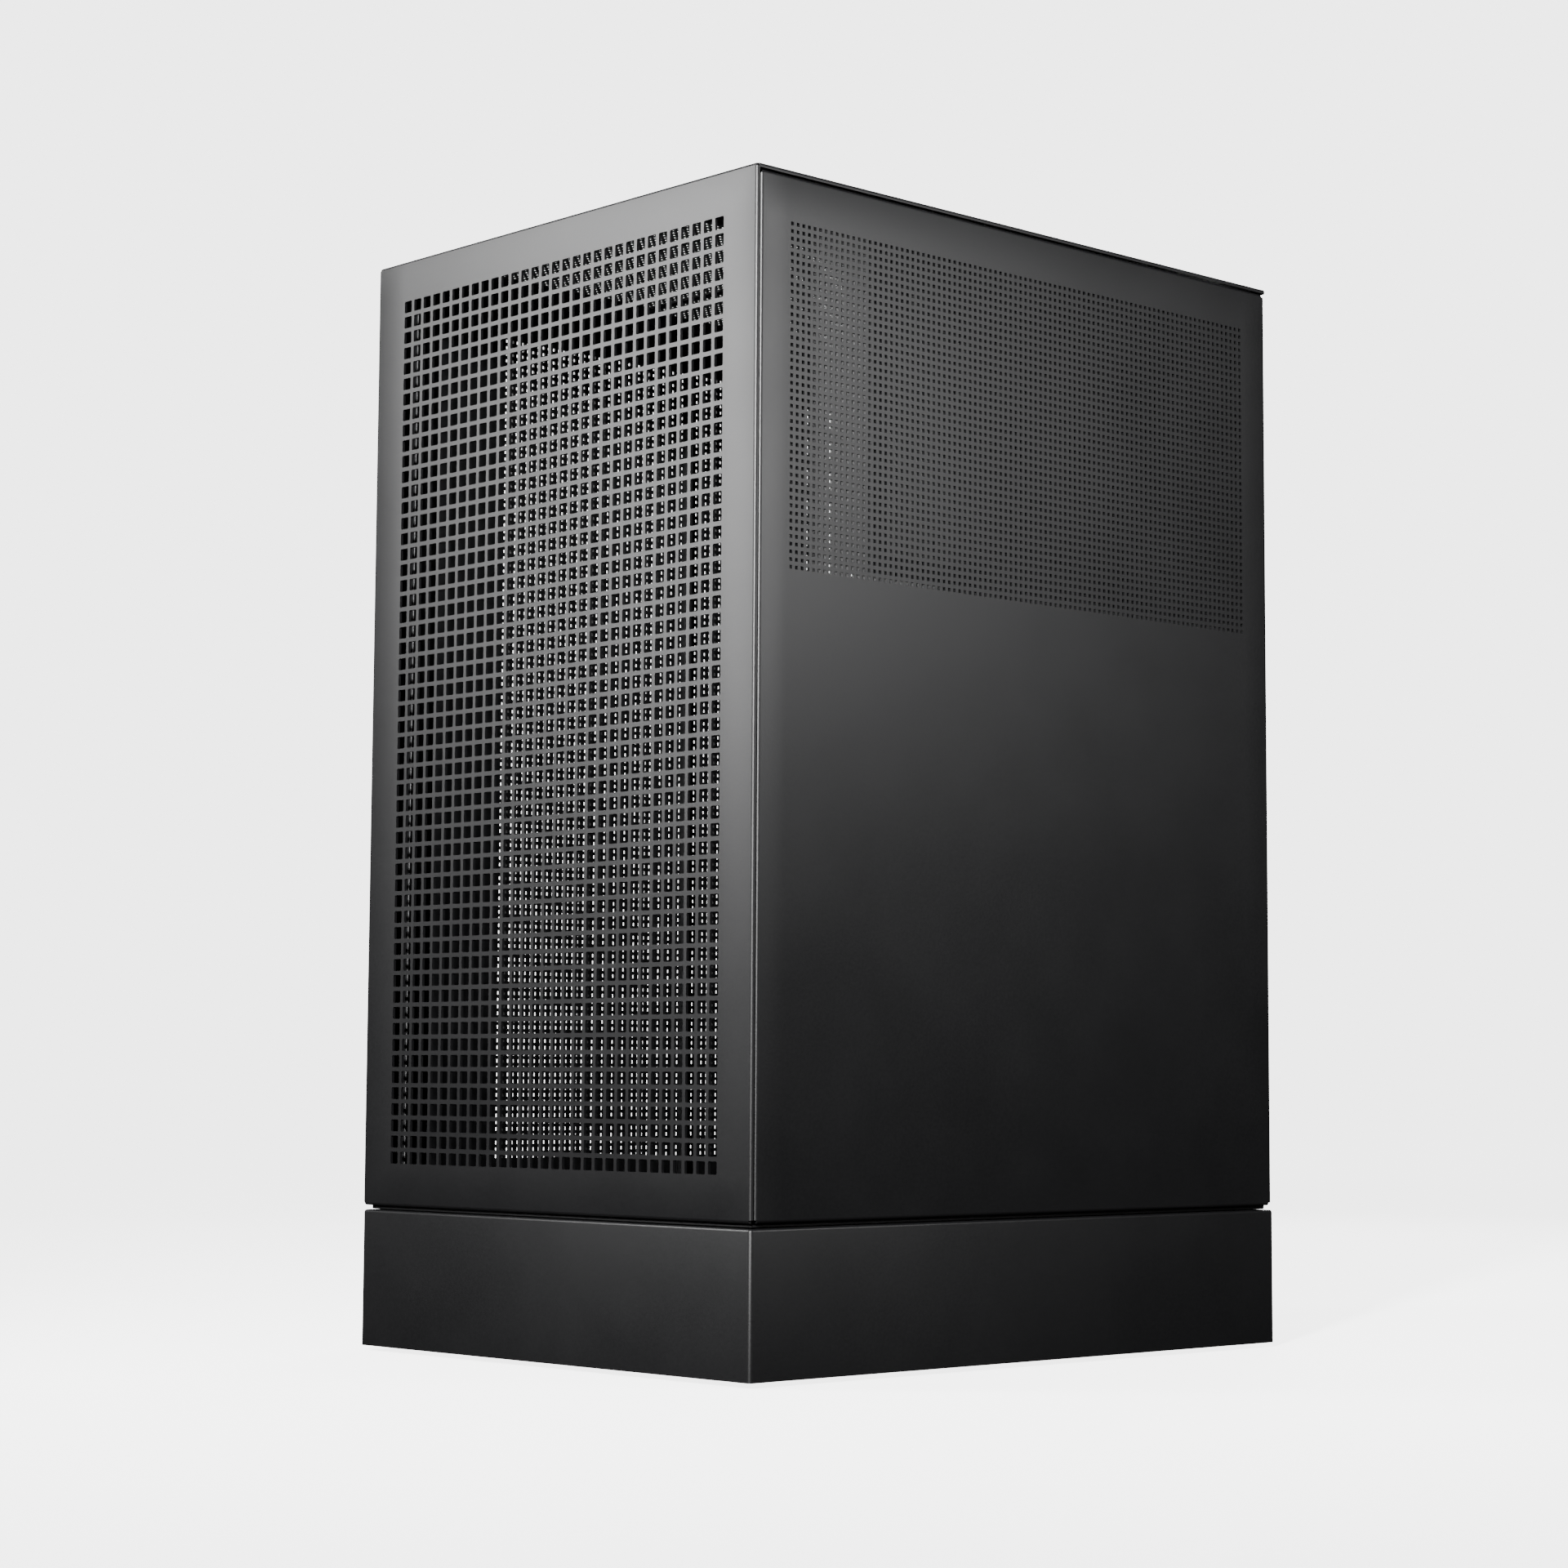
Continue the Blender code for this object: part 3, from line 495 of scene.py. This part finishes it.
def plain_sheet(width, height):
    """A blank of flat sheet round its own middle, facing +Z, ready to be folded."""
    deselect()
    bpy.ops.mesh.primitive_plane_add(size=1)
    blank = bpy.context.object
    blank.scale = (width, height, 1)
    bpy.ops.object.transform_apply(location=True, rotation=True, scale=True)
    return blank


def no_face(_face):
    return False


# ---------------------------------------------------------------- frame
def slot_cutter(low, high, radius, axis=1):
    """A cutter through a wall, along the axis of that number, its corners rounded."""
    cutter = block(low, high)
    edit("EDGE")
    pick("edges", lambda e: abs(e.verts[0].co[axis] - e.verts[1].co[axis]) > FLAT)
    bpy.ops.mesh.bevel(offset=radius, segments=5)
    object_mode()
    return cutter


def make_rear_wall():
    """The vented upper zone over the plain lower one, with the openings punched and both sides folded in."""
    depth, bend = 14 * MM, 1.2 * MM
    seam, vent_middle = 0.2988, 0.3560  # heights of the vented zone's lower edge and of its middle
    vent_columns, vent_rows = 70, 39
    half_x = WALL_HIGH.x - bend
    field, is_hole = punched_field(vent_columns, vent_rows, FINE_PITCH, FINE_WEB)
    outline(field, half_x, half_x, WALL_HIGH.z - vent_middle, vent_middle - seam)
    edit("EDGE")
    fold(RIGHT, bend, depth)
    fold(LEFT, bend, depth)
    finish_sheet(field, is_hole, -X, Z, Vector((0, WALL_HIGH.y, vent_middle)))

    height = seam - WALL_LOW.z
    plate = plain_sheet(2 * half_x, height)
    edit("EDGE")
    fold(RIGHT, bend, depth)
    fold(LEFT, bend, depth)
    finish_sheet(plate, no_face, -X, Z, Vector((0, WALL_HIGH.y, WALL_LOW.z + height / 2)))
    near, far = WALL_HIGH.y - 4 * MM, WALL_HIGH.y + 4 * MM

    def opening(x_low, x_high, z_low, z_high, radius):
        return slot_cutter((x_low, near, z_low), (x_high, far, z_high), radius)

    # the standard opening for the board's own plate of ports
    cuts = [opening(0.0432, 0.0876, 0.1216, 0.2804, 0.8 * MM)]
    inlet = row_box("mains_inlet")[2]
    inlet_x, inlet_z = 14.3 * MM, 10.8 * MM
    cuts.append(
        opening(inlet.x - inlet_x, inlet.x + inlet_x, inlet.z - inlet_z, inlet.z + inlet_z, 1.0 * MM)
    )
    card_low, card_high, card_half = -0.012, 0.088, 6.8 * MM
    for cover in ("slot_cover_1", "slot_cover_2"):
        z = row_box(cover)[2].z
        cuts.append(opening(card_low, card_high, z - card_half, z + card_half, 1.0 * MM))
    hub = row_box("fan_frame")[2]
    grille, slot_pitch, slot_half, slot_corner = 55 * MM, 8 * MM, 2.75 * MM, 2.7 * MM
    for k in range(-6, 7):
        half = math.sqrt(grille**2 - (abs(k) * slot_pitch + slot_half) ** 2)
        x = hub.x + k * slot_pitch
        cuts.append(opening(x - slot_half, x + slot_half, hub.z - half, hub.z + half, slot_corner))
    carve(plate, joined(*cuts))
    wall = joined(smooth(plate), field)
    place(wall, "rear_wall_sheet", "chassis", frame_paint, "black_painted_steel", "rear_wall")


def make_tray_screen():
    low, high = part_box("tray_screen")
    columns, rows = 67, 42
    front_margin, low_margin = 22 * MM, 8 * MM
    vent_front, vent_low = low.y + front_margin, low.z + low_margin
    field, is_hole = punched_field(columns, rows, FINE_PITCH, FINE_WEB)
    centre = Vector((high.x, vent_front + columns * FINE_PITCH / 2, vent_low + rows * FINE_PITCH / 2))
    outline(field, high.y - centre.y, centre.y - low.y, high.z - centre.z, centre.z - low.z)
    finish_sheet(field, is_hole, Y, Z, centre, high.x - low.x)
    place(field, "tray_screen_sheet", "chassis", frame_paint, "black_painted_steel", "tray_screen")


def eased(node, width, segments=2):
    """A copy of a solid node whose sharp edges are rounded a little, as a deburred or moulded edge is."""
    source = frame["nodes"][node]
    copy = bpy.data.objects.new(node + "_eased", source.data.copy())
    bpy.context.scene.collection.objects.link(copy)
    only(copy)
    edit()
    bpy.ops.mesh.select_all(action="SELECT")
    bpy.ops.mesh.remove_doubles(threshold=0.001 * MM)
    bpy.ops.mesh.dissolve_limited(angle_limit=math.radians(1))
    object_mode()
    soften(copy, width, segments, 50)
    return smooth(copy)


FINISH_OF = {s["node"]: s["material_slot"] for s in frame["record"]["subparts"]}
BODY_OF = {n: body for body, nodes in frame["record"]["behaviour"]["bodies"].items() for n in nodes}
MATERIALS = {
    "powder_coated_steel": powder_coat,
    "black_painted_steel": frame_paint,
    "black_zinc_screw": black_zinc,
    "brass": brass,
    "black_rubber": rubber,
    "black_abs": abs_plastic,
    "black_nylon": inlet_pbt,
    "nickel_plated_shell": nickel,
    "black_circuit_board": solder_mask,
}


def ease_nodes():
    """Sheet-steel parts and mouldings whose solid shape is right get their edges eased."""
    widths = {
        "front_frame": 0.25,
        "top_frame": 0.25,
        "frame_floor": 0.25,
        "left_side_post": 0.25,
        "motherboard_tray": 0.25,
        "power_supply_bracket": 0.3,
        "drive_bracket": 0.25,
        "shadow_gap_frame": 0.4,
        "plinth_floor": 0.25,
        "slot_cover_1": 0.2,
        "slot_cover_2": 0.2,
        "cable_grommet_lower": 0.5,
        "cable_grommet_upper": 0.5,
        "port_board": 0.2,
        "button_guide": 0.3,
        "power_switch": 0.3,
        "usb_a_port_front": 0.12,
        "usb_a_port_rear": 0.12,
        "audio_jack": 0.25,
        "usb_c_port": 0.1,
    }
    for node, width in widths.items():
        slot = FINISH_OF[node]
        place(eased(node, width * MM), node + "_eased", BODY_OF[node], MATERIALS[slot], slot, node)


def paint_kept_nodes():
    for name, obj in frame["nodes"].items():
        obj.data.materials.clear()
        obj.data.materials.append(MATERIALS[FINISH_OF[name]])


# ---------------------------------------------------------------- screws, rivets and feet
def cross_recess(centre, radius, depth):
    """A cross, to be cut into a screw head that faces +Y."""
    long_half, short_half = radius * 0.62, radius * 0.17
    arms = []
    for long_side in (X, Z):
        reach = [long_half if long_side[i] else short_half for i in (0, 2)]
        low = Vector((centre.x - reach[0], centre.y - depth, centre.z - reach[1]))
        high = Vector((centre.x + reach[0], centre.y + depth, centre.z + reach[1]))
        arms.append(block(low, high))
    return united(*arms)


def pan_head(base, radius, height):
    """A domed head with a cross recess, standing on its base and facing +Y."""
    head = turned(base + Y * height / 2, Y, radius, height, 40)
    edit("EDGE")
    top = base.y + height - FLAT
    pick("edges", lambda e: all(v.co.y > top for v in e.verts))
    bpy.ops.mesh.bevel(offset=height * 0.55, segments=5)
    object_mode()
    return carve(head, cross_recess(base + Y * height, radius, height * 0.6))


def make_screws():
    for node in sorted(n for n in frame["nodes"] if FINISH_OF[n] == "black_zinc_screw"):
        low, high, centre = row_box(node)
        radius = (high.x - low.x) / 2
        fan = node.startswith("fan")
        height, shank = (1.8 * MM, 1.9 * MM) if fan else (1.5 * MM, 1.5 * MM)
        under = high.y - height
        head = pan_head(Vector((centre.x, under, centre.z)), radius, height)
        stem = turned(Vector((centre.x, (low.y + under) / 2, centre.z)), Y, shank, under - low.y, 20)
        edit("EDGE")
        pick("edges", lambda e: all(v.co.y < low.y + FLAT for v in e.verts))
        bpy.ops.mesh.bevel(offset=0.4 * MM, segments=2)
        object_mode()
        screw = smooth(joined(head, stem))
        place(screw, node + "_turned", BODY_OF[node], black_zinc, "black_zinc_screw", node)


def make_feet():
    """Turned pads with a shallow sunk middle."""
    rim, sunk, step = 0.45, 0.6 * MM, 0.3 * MM
    for node in sorted(n for n in frame["nodes"] if n.startswith("foot_")):
        low, high, centre = row_box(node)
        radius = (high.x - low.x) / 2
        foot = turned(centre, Z, radius, high.z - low.z, 48)
        edit("FACE")
        pick("faces", lambda f: f.normal.z < -0.999)
        bpy.ops.mesh.inset(thickness=radius * rim)
        extrude(Z * sunk)
        bpy.ops.mesh.inset(thickness=step)
        object_mode()
        soften(foot, 0.45 * MM, 3)
        place(smooth(foot), node + "_moulded", "chassis", rubber, "black_rubber", node)


def make_rivets():
    """Blind rivets that hold the rear wall's flanges to the frame, each with its sunk core."""
    across, heights = 0.097, (0.0635, 0.118, 0.2945, 0.4165)
    radius, height, standing, rim, sunk = 2.3 * MM, 1.2 * MM, 0.3 * MM, 1.3 * MM, 0.5 * MM
    heads = []
    for x in (-across, across):
        for z in heights:
            head = turned(Vector((x, WALL_HIGH.y + standing, z)), Y, radius, height, 28)
            edit("FACE")
            pick("faces", lambda f: f.normal.y > 0.999)
            bpy.ops.mesh.inset(thickness=rim)
            extrude(-Y * sunk)
            object_mode()
            heads.append(soften(head, 0.3 * MM, 3))
    place(smooth(joined(*heads)), "rear_rivets", "chassis", black_zinc, "black_zinc_screw")


# ---------------------------------------------------------------- ports, button, inlet and fan
def make_button():
    """A cap with a dished face and a ring turned round it, over its collar and plunger."""
    low, high, centre = row_box("power_button")
    face, cap_depth, stem_start = low.x, 4 * MM, 3 * MM
    collar_near, collar_far, collar_radius = -111.5 * MM, -111.0 * MM, 8.4 * MM

    def bar(near, far, radius, sides):
        at = Vector(((near + far) / 2, centre.y, centre.z))
        return turned(at, X, radius, far - near, sides)

    cap = bar(face, face + cap_depth, BUTTON_RADIUS, 64)
    edit("FACE")
    pick("faces", lambda f: f.normal.x < -0.999)
    bpy.ops.mesh.inset(thickness=0.9 * MM)
    bpy.ops.mesh.inset(thickness=0.15 * MM)
    extrude(X * 0.3 * MM)
    bpy.ops.mesh.inset(thickness=0.15 * MM)
    for inward, deeper in ((1.6, 0.12), (1.6, 0.06)):
        bpy.ops.mesh.inset(thickness=inward * MM, depth=-deeper * MM)
    object_mode()
    soften(cap, 0.25 * MM, 3, 60)
    collar = soften(bar(collar_near, collar_far, collar_radius, 48), 0.12 * MM)
    stem = soften(bar(face + stem_start, high.x, 1.8 * MM, 24), 0.3 * MM)
    button = smooth(joined(cap, collar, stem))
    place(button, "power_button_moulded", "power_button", abs_plastic, "black_abs", "power_button")


def make_port_insides():
    """The moulded tongues inside the sockets, with their contacts."""
    tongues, contacts = [], []

    def bar(x, y, z, edge, segments=2):
        return soften(block((x[0], y[0], z[0]), (x[1], y[1], z[1])), edge, segments)

    def around(value, half):
        return value - half, value + half

    pins, pin_pitch = 4, 2.3 * MM
    for node in ("usb_a_port_front", "usb_a_port_rear"):
        low, _high, centre = row_box(node)
        near, far = low.x + 0.8 * MM, low.x + 10.7 * MM
        under, over = centre.z + 0.2 * MM, centre.z + 2.05 * MM
        tongues.append(bar((near, far), around(centre.y, 5.6 * MM), (under, over), 0.25 * MM))
        for k in range(pins):
            y = around(centre.y + (k - (pins - 1) / 2) * pin_pitch, 0.5 * MM)
            z = under - 0.15 * MM, under + 0.1 * MM
            contacts.append(bar((near + 0.9 * MM, far - 0.2 * MM), y, z, 0.08 * MM))

    pins, pin_pitch = 12, 0.5 * MM
    low, _high, centre = row_box("usb_c_port")
    near, far = low.x + 0.9 * MM, low.x + 7.2 * MM
    z = around(centre.z, 0.35 * MM)
    tongues.append(bar((near, far), around(centre.y, 3.3 * MM), z, 0.15 * MM))
    for k in range(pins):
        y = around(centre.y + (k - (pins - 1) / 2) * pin_pitch, 0.14 * MM)
        z = around(centre.z, 0.42 * MM)
        contacts.append(bar((near + 0.4 * MM, far), y, z, 0.04 * MM, 1))
    place(smooth(joined(*tongues)), "port_tongues", "chassis", inlet_pbt, "black_nylon")
    place(smooth(joined(*contacts)), "port_contacts", "chassis", gold_flash, "nickel_plated_shell")

    low, _high, centre = row_box("audio_jack")
    outer, inner, length, start = 2.6 * MM, 1.85 * MM, 0.9 * MM, 0.6 * MM
    ring = turned(Vector((low.x + start, centre.y, centre.z)), X, outer, length, 40)
    ring = carve(ring, turned(Vector((low.x, centre.y, centre.z)), X, inner, 6 * MM, 40))
    place(smooth(soften(ring, 0.12 * MM)), "audio_ring", "chassis", nickel, "nickel_plated_shell")


def make_inlet():
    """A C14 inlet: a rounded flange, the socket's six-sided mouth and three blades."""
    low, high, centre = row_box("mains_inlet")
    rear, flange_depth, barrel_start = high.y, 2.2 * MM, 1.2 * MM

    def around(half_x, y_low, y_high, half_z):
        """Two corners, evenly round the inlet's axis."""
        return (
            (centre.x - half_x, y_low, centre.z - half_z),
            (centre.x + half_x, y_high, centre.z + half_z),
        )

    flange = slot_cutter((low.x, rear - flange_depth, low.z), high, 4.5 * MM)
    edit("EDGE")
    pick("edges", lambda e: all(v.co.y > rear - FLAT for v in e.verts))
    bpy.ops.mesh.bevel(offset=0.5 * MM, segments=3)
    object_mode()
    barrel = slot_cutter(*around(14 * MM, low.y, rear - barrel_start, 10.5 * MM), 3 * MM)
    body = united(flange, barrel)

    mouth_x, mouth_z, floor = 12 * MM, 8 * MM, 5 * MM
    mouth = block(*around(mouth_x, low.y + floor, rear + 3 * MM, mouth_z))
    top = centre.z + mouth_z - FLAT
    edit("EDGE")
    pick("edges", lambda e: abs(e.verts[0].co.y - e.verts[1].co.y) > FLAT and middle(e).z > top)
    bpy.ops.mesh.bevel(offset=5 * MM, segments=1)
    pick("edges", lambda e: abs(e.verts[0].co.y - e.verts[1].co.y) > FLAT)
    bpy.ops.mesh.bevel(offset=0.7 * MM, segments=3)
    object_mode()
    bore, seat = (1.65 * MM, 12 * MM), (3.1 * MM, 2.4 * MM)
    spots = [Vector((centre.x + side * INLET_SCREW_REACH, rear, centre.z)) for side in (-1, 1)]
    holes = [turned(spot, Y, radius, length, 32) for spot in spots for radius, length in (bore, seat)]
    carve(body, mouth, *holes)
    place(smooth(body), "mains_inlet_moulded", "chassis", inlet_pbt, "black_nylon", "mains_inlet")

    blades = []
    root, shoulder, point = low.y + 3 * MM, rear - 3.5 * MM, 0.9 * MM
    for across, height in ((-7, -2), (7, -2), (0, 2)):
        x, z = centre.x + across * MM, centre.z + height * MM
        blade = block((x - 1 * MM, root, z - 2 * MM), (x + 1 * MM, shoulder, z + 2 * MM))
        edit("FACE")
        pick("faces", lambda f: f.normal.y > 0.999)
        extrude(Y * point)
        bpy.ops.transform.resize(value=(0.45, 1, 0.7), center_override=(x, shoulder + point, z))
        object_mode()
        blades.append(soften(blade, 0.15 * MM))
    place(smooth(joined(*blades)), "mains_blades", "chassis", nickel, "nickel_plated_shell")

    head_radius, head_height, sunk = 2.9 * MM, 1.5 * MM, 1.15 * MM
    heads = [pan_head(spot - Y * sunk, head_radius, head_height) for spot in spots]
    place(smooth(joined(*heads)), "mains_inlet_screws", "chassis", black_zinc, "black_zinc_screw")


def make_standoffs():
    """Hexagonal stand-offs with a wider mouth to the thread."""
    radius, bore_radius, mouth_radius, mouth_depth = 3.2 * MM, 1.3 * MM, 1.75 * MM, 0.8 * MM
    for node in sorted(n for n in frame["nodes"] if n.startswith("board_standoff_")):
        low, high, centre = row_box(node)
        post = turned(centre, X, radius, high.x - low.x, 6)
        edit("FACE")
        pick("faces", lambda f: f.normal.x < -0.999)
        bpy.ops.mesh.inset(thickness=0.35 * MM, depth=0.2 * MM)
        object_mode()
        bore = turned(Vector((low.x - 1 * MM, centre.y, centre.z)), X, bore_radius, 12 * MM, 32)
        mouth = turned(Vector((low.x, centre.y, centre.z)), X, mouth_radius, mouth_depth, 32)
        carve(post, bore, mouth)
        end = min(v.co.x for v in post.data.vertices)
        post.data.transform(Matrix.Translation(X * (low.x - end)))
        place(soften(smooth(post), 0.1 * MM), node + "_turned", "chassis", brass, "brass", node)


def fan_blade(turn):
    """One blade: narrow and steep at its root, broad and shallow at its tip."""
    root, tip, chord, half_thick = 19.5 * MM, 55.5 * MM, 20 * MM, 0.8 * MM
    tip_thick, tip_broad = 0.7, 1.65
    steep, wash = math.radians(76), math.radians(38)
    blade = block((root, -half_thick, -chord / 2), (tip, half_thick, chord / 2))
    edit("FACE")
    pick("faces", lambda f: f.normal.x > 0.999)
    bpy.ops.transform.resize(value=(1, tip_thick, tip_broad), center_override=(tip, 0, 0))
    bpy.ops.mesh.select_all(action="SELECT")
    bpy.ops.mesh.subdivide(number_cuts=7)
    object_mode()
    modify(blade, "SIMPLE_DEFORM", deform_method="TWIST", deform_axis="X", angle=wash)
    blade.data.transform(Matrix.Rotation(-steep, 4, "X"))
    blade.data.transform(Matrix.Rotation(-turn, 4, "Y"))
    return blade


def make_fan():
    low, high, centre = row_box("fan_frame")
    half, bore, through = (high.x - low.x) / 2, 57.5 * MM, 40 * MM
    screw_reach, screw_hole = 52.5 * MM, 2.2 * MM
    shroud = slot_cutter(low, high, 5 * MM)
    soften(shroud, 0.5 * MM, 2, 60)
    inner = turned(centre, Y, bore, through, 96)
    waist = []
    out, deep, along, across = half + 3 * MM, 4.2 * MM, 38 * MM, 8.3 * MM
    for side_x, side_z in ((-1, 0), (1, 0), (0, -1), (0, 1)):
        # the corner flanges stand proud of a waist on each side
        at = centre + Vector((side_x * out, 0, side_z * out))
        reach = Vector((deep if side_x else along, across, deep if side_z else along))
        waist.append(slot_cutter(at - reach, at + reach, 1.5 * MM))
    holes = [
        turned(centre + Vector((side_x * screw_reach, 0, side_z * screw_reach)), Y, screw_hole, through, 32)
        for side_x in (-1, 1)
        for side_z in (-1, 1)
    ]
    carve(shroud, inner, joined(*waist), joined(*holes))
    strut_root, strut_half, first_strut, struts = 16 * MM, 2 * MM, 20, []
    near, far = high.y - 3.2 * MM, high.y - 0.8 * MM
    for k in range(4):
        strut = block((strut_root, near, -strut_half), (bore + 0.8 * MM, far, strut_half))
        soften(strut, 0.6 * MM, 3)
        strut.data.transform(Matrix.Rotation(math.radians(90 * k + first_strut), 4, "Y"))
        strut.data.transform(Matrix.Translation(Vector((centre.x, 0, centre.z))))
        struts.append(strut)
    plate = turned(Vector((centre.x, high.y - 2 * MM, centre.z)), Y, 20 * MM, 3 * MM, 64)
    soften(plate, 0.5 * MM, 3)
    frame_piece = smooth(joined(smooth(shroud), plate, *struts))
    place(frame_piece, "fan_frame_moulded", "chassis", abs_plastic, "black_abs", "fan_frame")

    blade_count, hub_radius = 9, 21 * MM
    low, high, centre = row_box("fan_rotor")
    hub = turned(centre, Y, hub_radius, high.y - low.y, 96)
    near = low.y + FLAT
    edit("EDGE")
    pick("edges", lambda e: all(v.co.y < near for v in e.verts))
    bpy.ops.mesh.bevel(offset=2 * MM, segments=5)
    object_mode()
    blades = [fan_blade(2 * math.pi * k / blade_count) for k in range(blade_count)]
    for blade in blades:
        blade.data.transform(Matrix.Translation(centre))
    rotor = smooth(joined(hub, *blades), 45)
    place(rotor, "fan_rotor_moulded", "fan_rotor", abs_plastic, "black_abs", "fan_rotor")


make_front_skin()
# each side's vent starts this far back, and this high up
make_side_skin("right_skin", "right_panel", RIGHT_LOW, RIGHT_HIGH, X, -0.1252, 0.2833)
make_side_skin("left_skin", "left_panel", LEFT_LOW, LEFT_HIGH, -X, -0.077, 0.072)
make_top_skin()
place(smooth(make_plinth()), "plinth_shell", "chassis", powder_coat, "powder_coated_steel", "plinth_skirt")
make_rear_wall()
make_tray_screen()
paint_kept_nodes()
ease_nodes()
make_screws()
make_feet()
make_rivets()
make_button()
make_port_insides()
make_inlet()
make_standoffs()
make_fan()


# ---------------------------------------------------------------- floor, light and camera
def seen_directly(tree, low, high):
    """A value that is high where the camera looks straight at a surface or the sky, and low elsewhere."""
    seen = add_node(tree, "ShaderNodeLightPath").outputs["Is Camera Ray"]
    mapped = add_node(tree, "ShaderNodeMapRange", {"Value": seen, "To Min": low, "To Max": high})
    return mapped.outputs["Result"]


def make_floor():
    """A white sweep, lit from behind as a product table is, so that it looks as pale as the backdrop."""
    deselect()
    bpy.ops.mesh.primitive_plane_add(size=40)
    floor = bpy.context.object
    floor.name = "floor"
    white = bpy.data.materials.new("white_sweep")
    white.use_nodes = True
    tree = white.node_tree
    shader = tree.nodes["Principled BSDF"]
    shader.inputs["Base Color"].default_value = srgb("#ececec")
    shader.inputs["Roughness"].default_value = 0.9
    shader.inputs["Emission Color"].default_value = (1, 1, 1, 1)
    tree.links.new(seen_directly(tree, 0.0, BACKDROP * 0.97), shader.inputs["Emission Strength"])
    floor.data.materials.append(white)
    floor.visible_diffuse = False
    floor.visible_glossy = False


def softbox(name, spot, target, size, power, spread):
    light = bpy.data.lights.new(name, "AREA")
    light.shape = "RECTANGLE"
    light.size, light.size_y = size
    light.energy = power
    light.spread = math.radians(spread)
    holder = bpy.data.objects.new(name, light)
    bpy.context.scene.collection.objects.link(holder)
    holder.location = spot
    holder.rotation_euler = (Vector(target) - Vector(spot)).to_track_quat("-Z", "Y").to_euler()


def from_corner(bearing, height, distance):
    """A spot round the front right corner: bearing 0 is +X and 90 is -Y, both in degrees like height."""
    bearing, height = math.radians(bearing), math.radians(height)
    level = math.cos(height)
    way = Vector((math.cos(bearing) * level, -math.sin(bearing) * level, math.sin(height)))
    return Vector((RIGHT_HIGH.x, FRONT_LOW.y, CORNER_HEIGHT)) + way * distance


def light_studio():
    front_aim, side_aim = (0.05, -0.14, 0.34), (0.113, -0.05, 0.34)
    softbox("key_low", from_corner(133, 4, 0.9), front_aim, (0.25, 0.25), 2.7, 110)
    softbox("key_high", from_corner(138, 20, 0.9), front_aim, (0.25, 0.25), 2.8, 110)
    softbox("side", from_corner(-32, 8, 1.0), side_aim, (0.3, 0.3), 2.5, 110)
    softbox("edge", from_corner(58, 12, 1.6), (0.113, -0.14, 0.33), (0.12, 0.2), 8, 40)
    softbox("back_fill", (-0.9, 1.3, 0.75), (0, 0.1, 0.24), (0.5, 0.5), 6, 110)
    overhead = bpy.data.lights.new("overhead", "SUN")
    overhead.energy = 0.4
    overhead.angle = math.radians(25)
    holder = bpy.data.objects.new("overhead", overhead)
    bpy.context.scene.collection.objects.link(holder)
    world = bpy.data.worlds.new("studio")
    bpy.context.scene.world = world
    world.use_nodes = True
    tree = world.node_tree
    backdrop = tree.nodes["Background"]
    tree.links.new(seen_directly(tree, ROOM, BACKDROP), backdrop.inputs["Strength"])
    backdrop.inputs["Color"].default_value = (1, 1, 1, 1)


def set_camera():
    """A long lens near the floor, looking slightly up at the front right edge."""
    azimuth, elevation, roll = math.radians(46.336), math.radians(-5.637), math.radians(0.216)
    aim_height, distance, side, rise = 0.213, 1.3549, 0.00972, 0.02408
    level = math.cos(elevation)
    back = Vector((math.sin(azimuth) * level, -math.cos(azimuth) * level, math.sin(elevation)))
    right = Z.cross(back).normalized()
    up = back.cross(right)
    right, up = (
        right * math.cos(roll) + up * math.sin(roll),
        up * math.cos(roll) - right * math.sin(roll),
    )
    data = bpy.data.cameras.new("camera")
    data.sensor_width = 36
    data.lens = 77.8706
    data.shift_x, data.shift_y = -0.0417, -0.026
    camera = bpy.data.objects.new("camera", data)
    bpy.context.scene.collection.objects.link(camera)
    spot = Z * (SKIRT_LOW.z + aim_height) + back * distance + right * side + up * rise
    turn = Matrix((right, up, back)).transposed().to_4x4()
    camera.matrix_world = Matrix.Translation(spot) @ turn
    bpy.context.scene.camera = camera


make_floor()
light_studio()
set_camera()
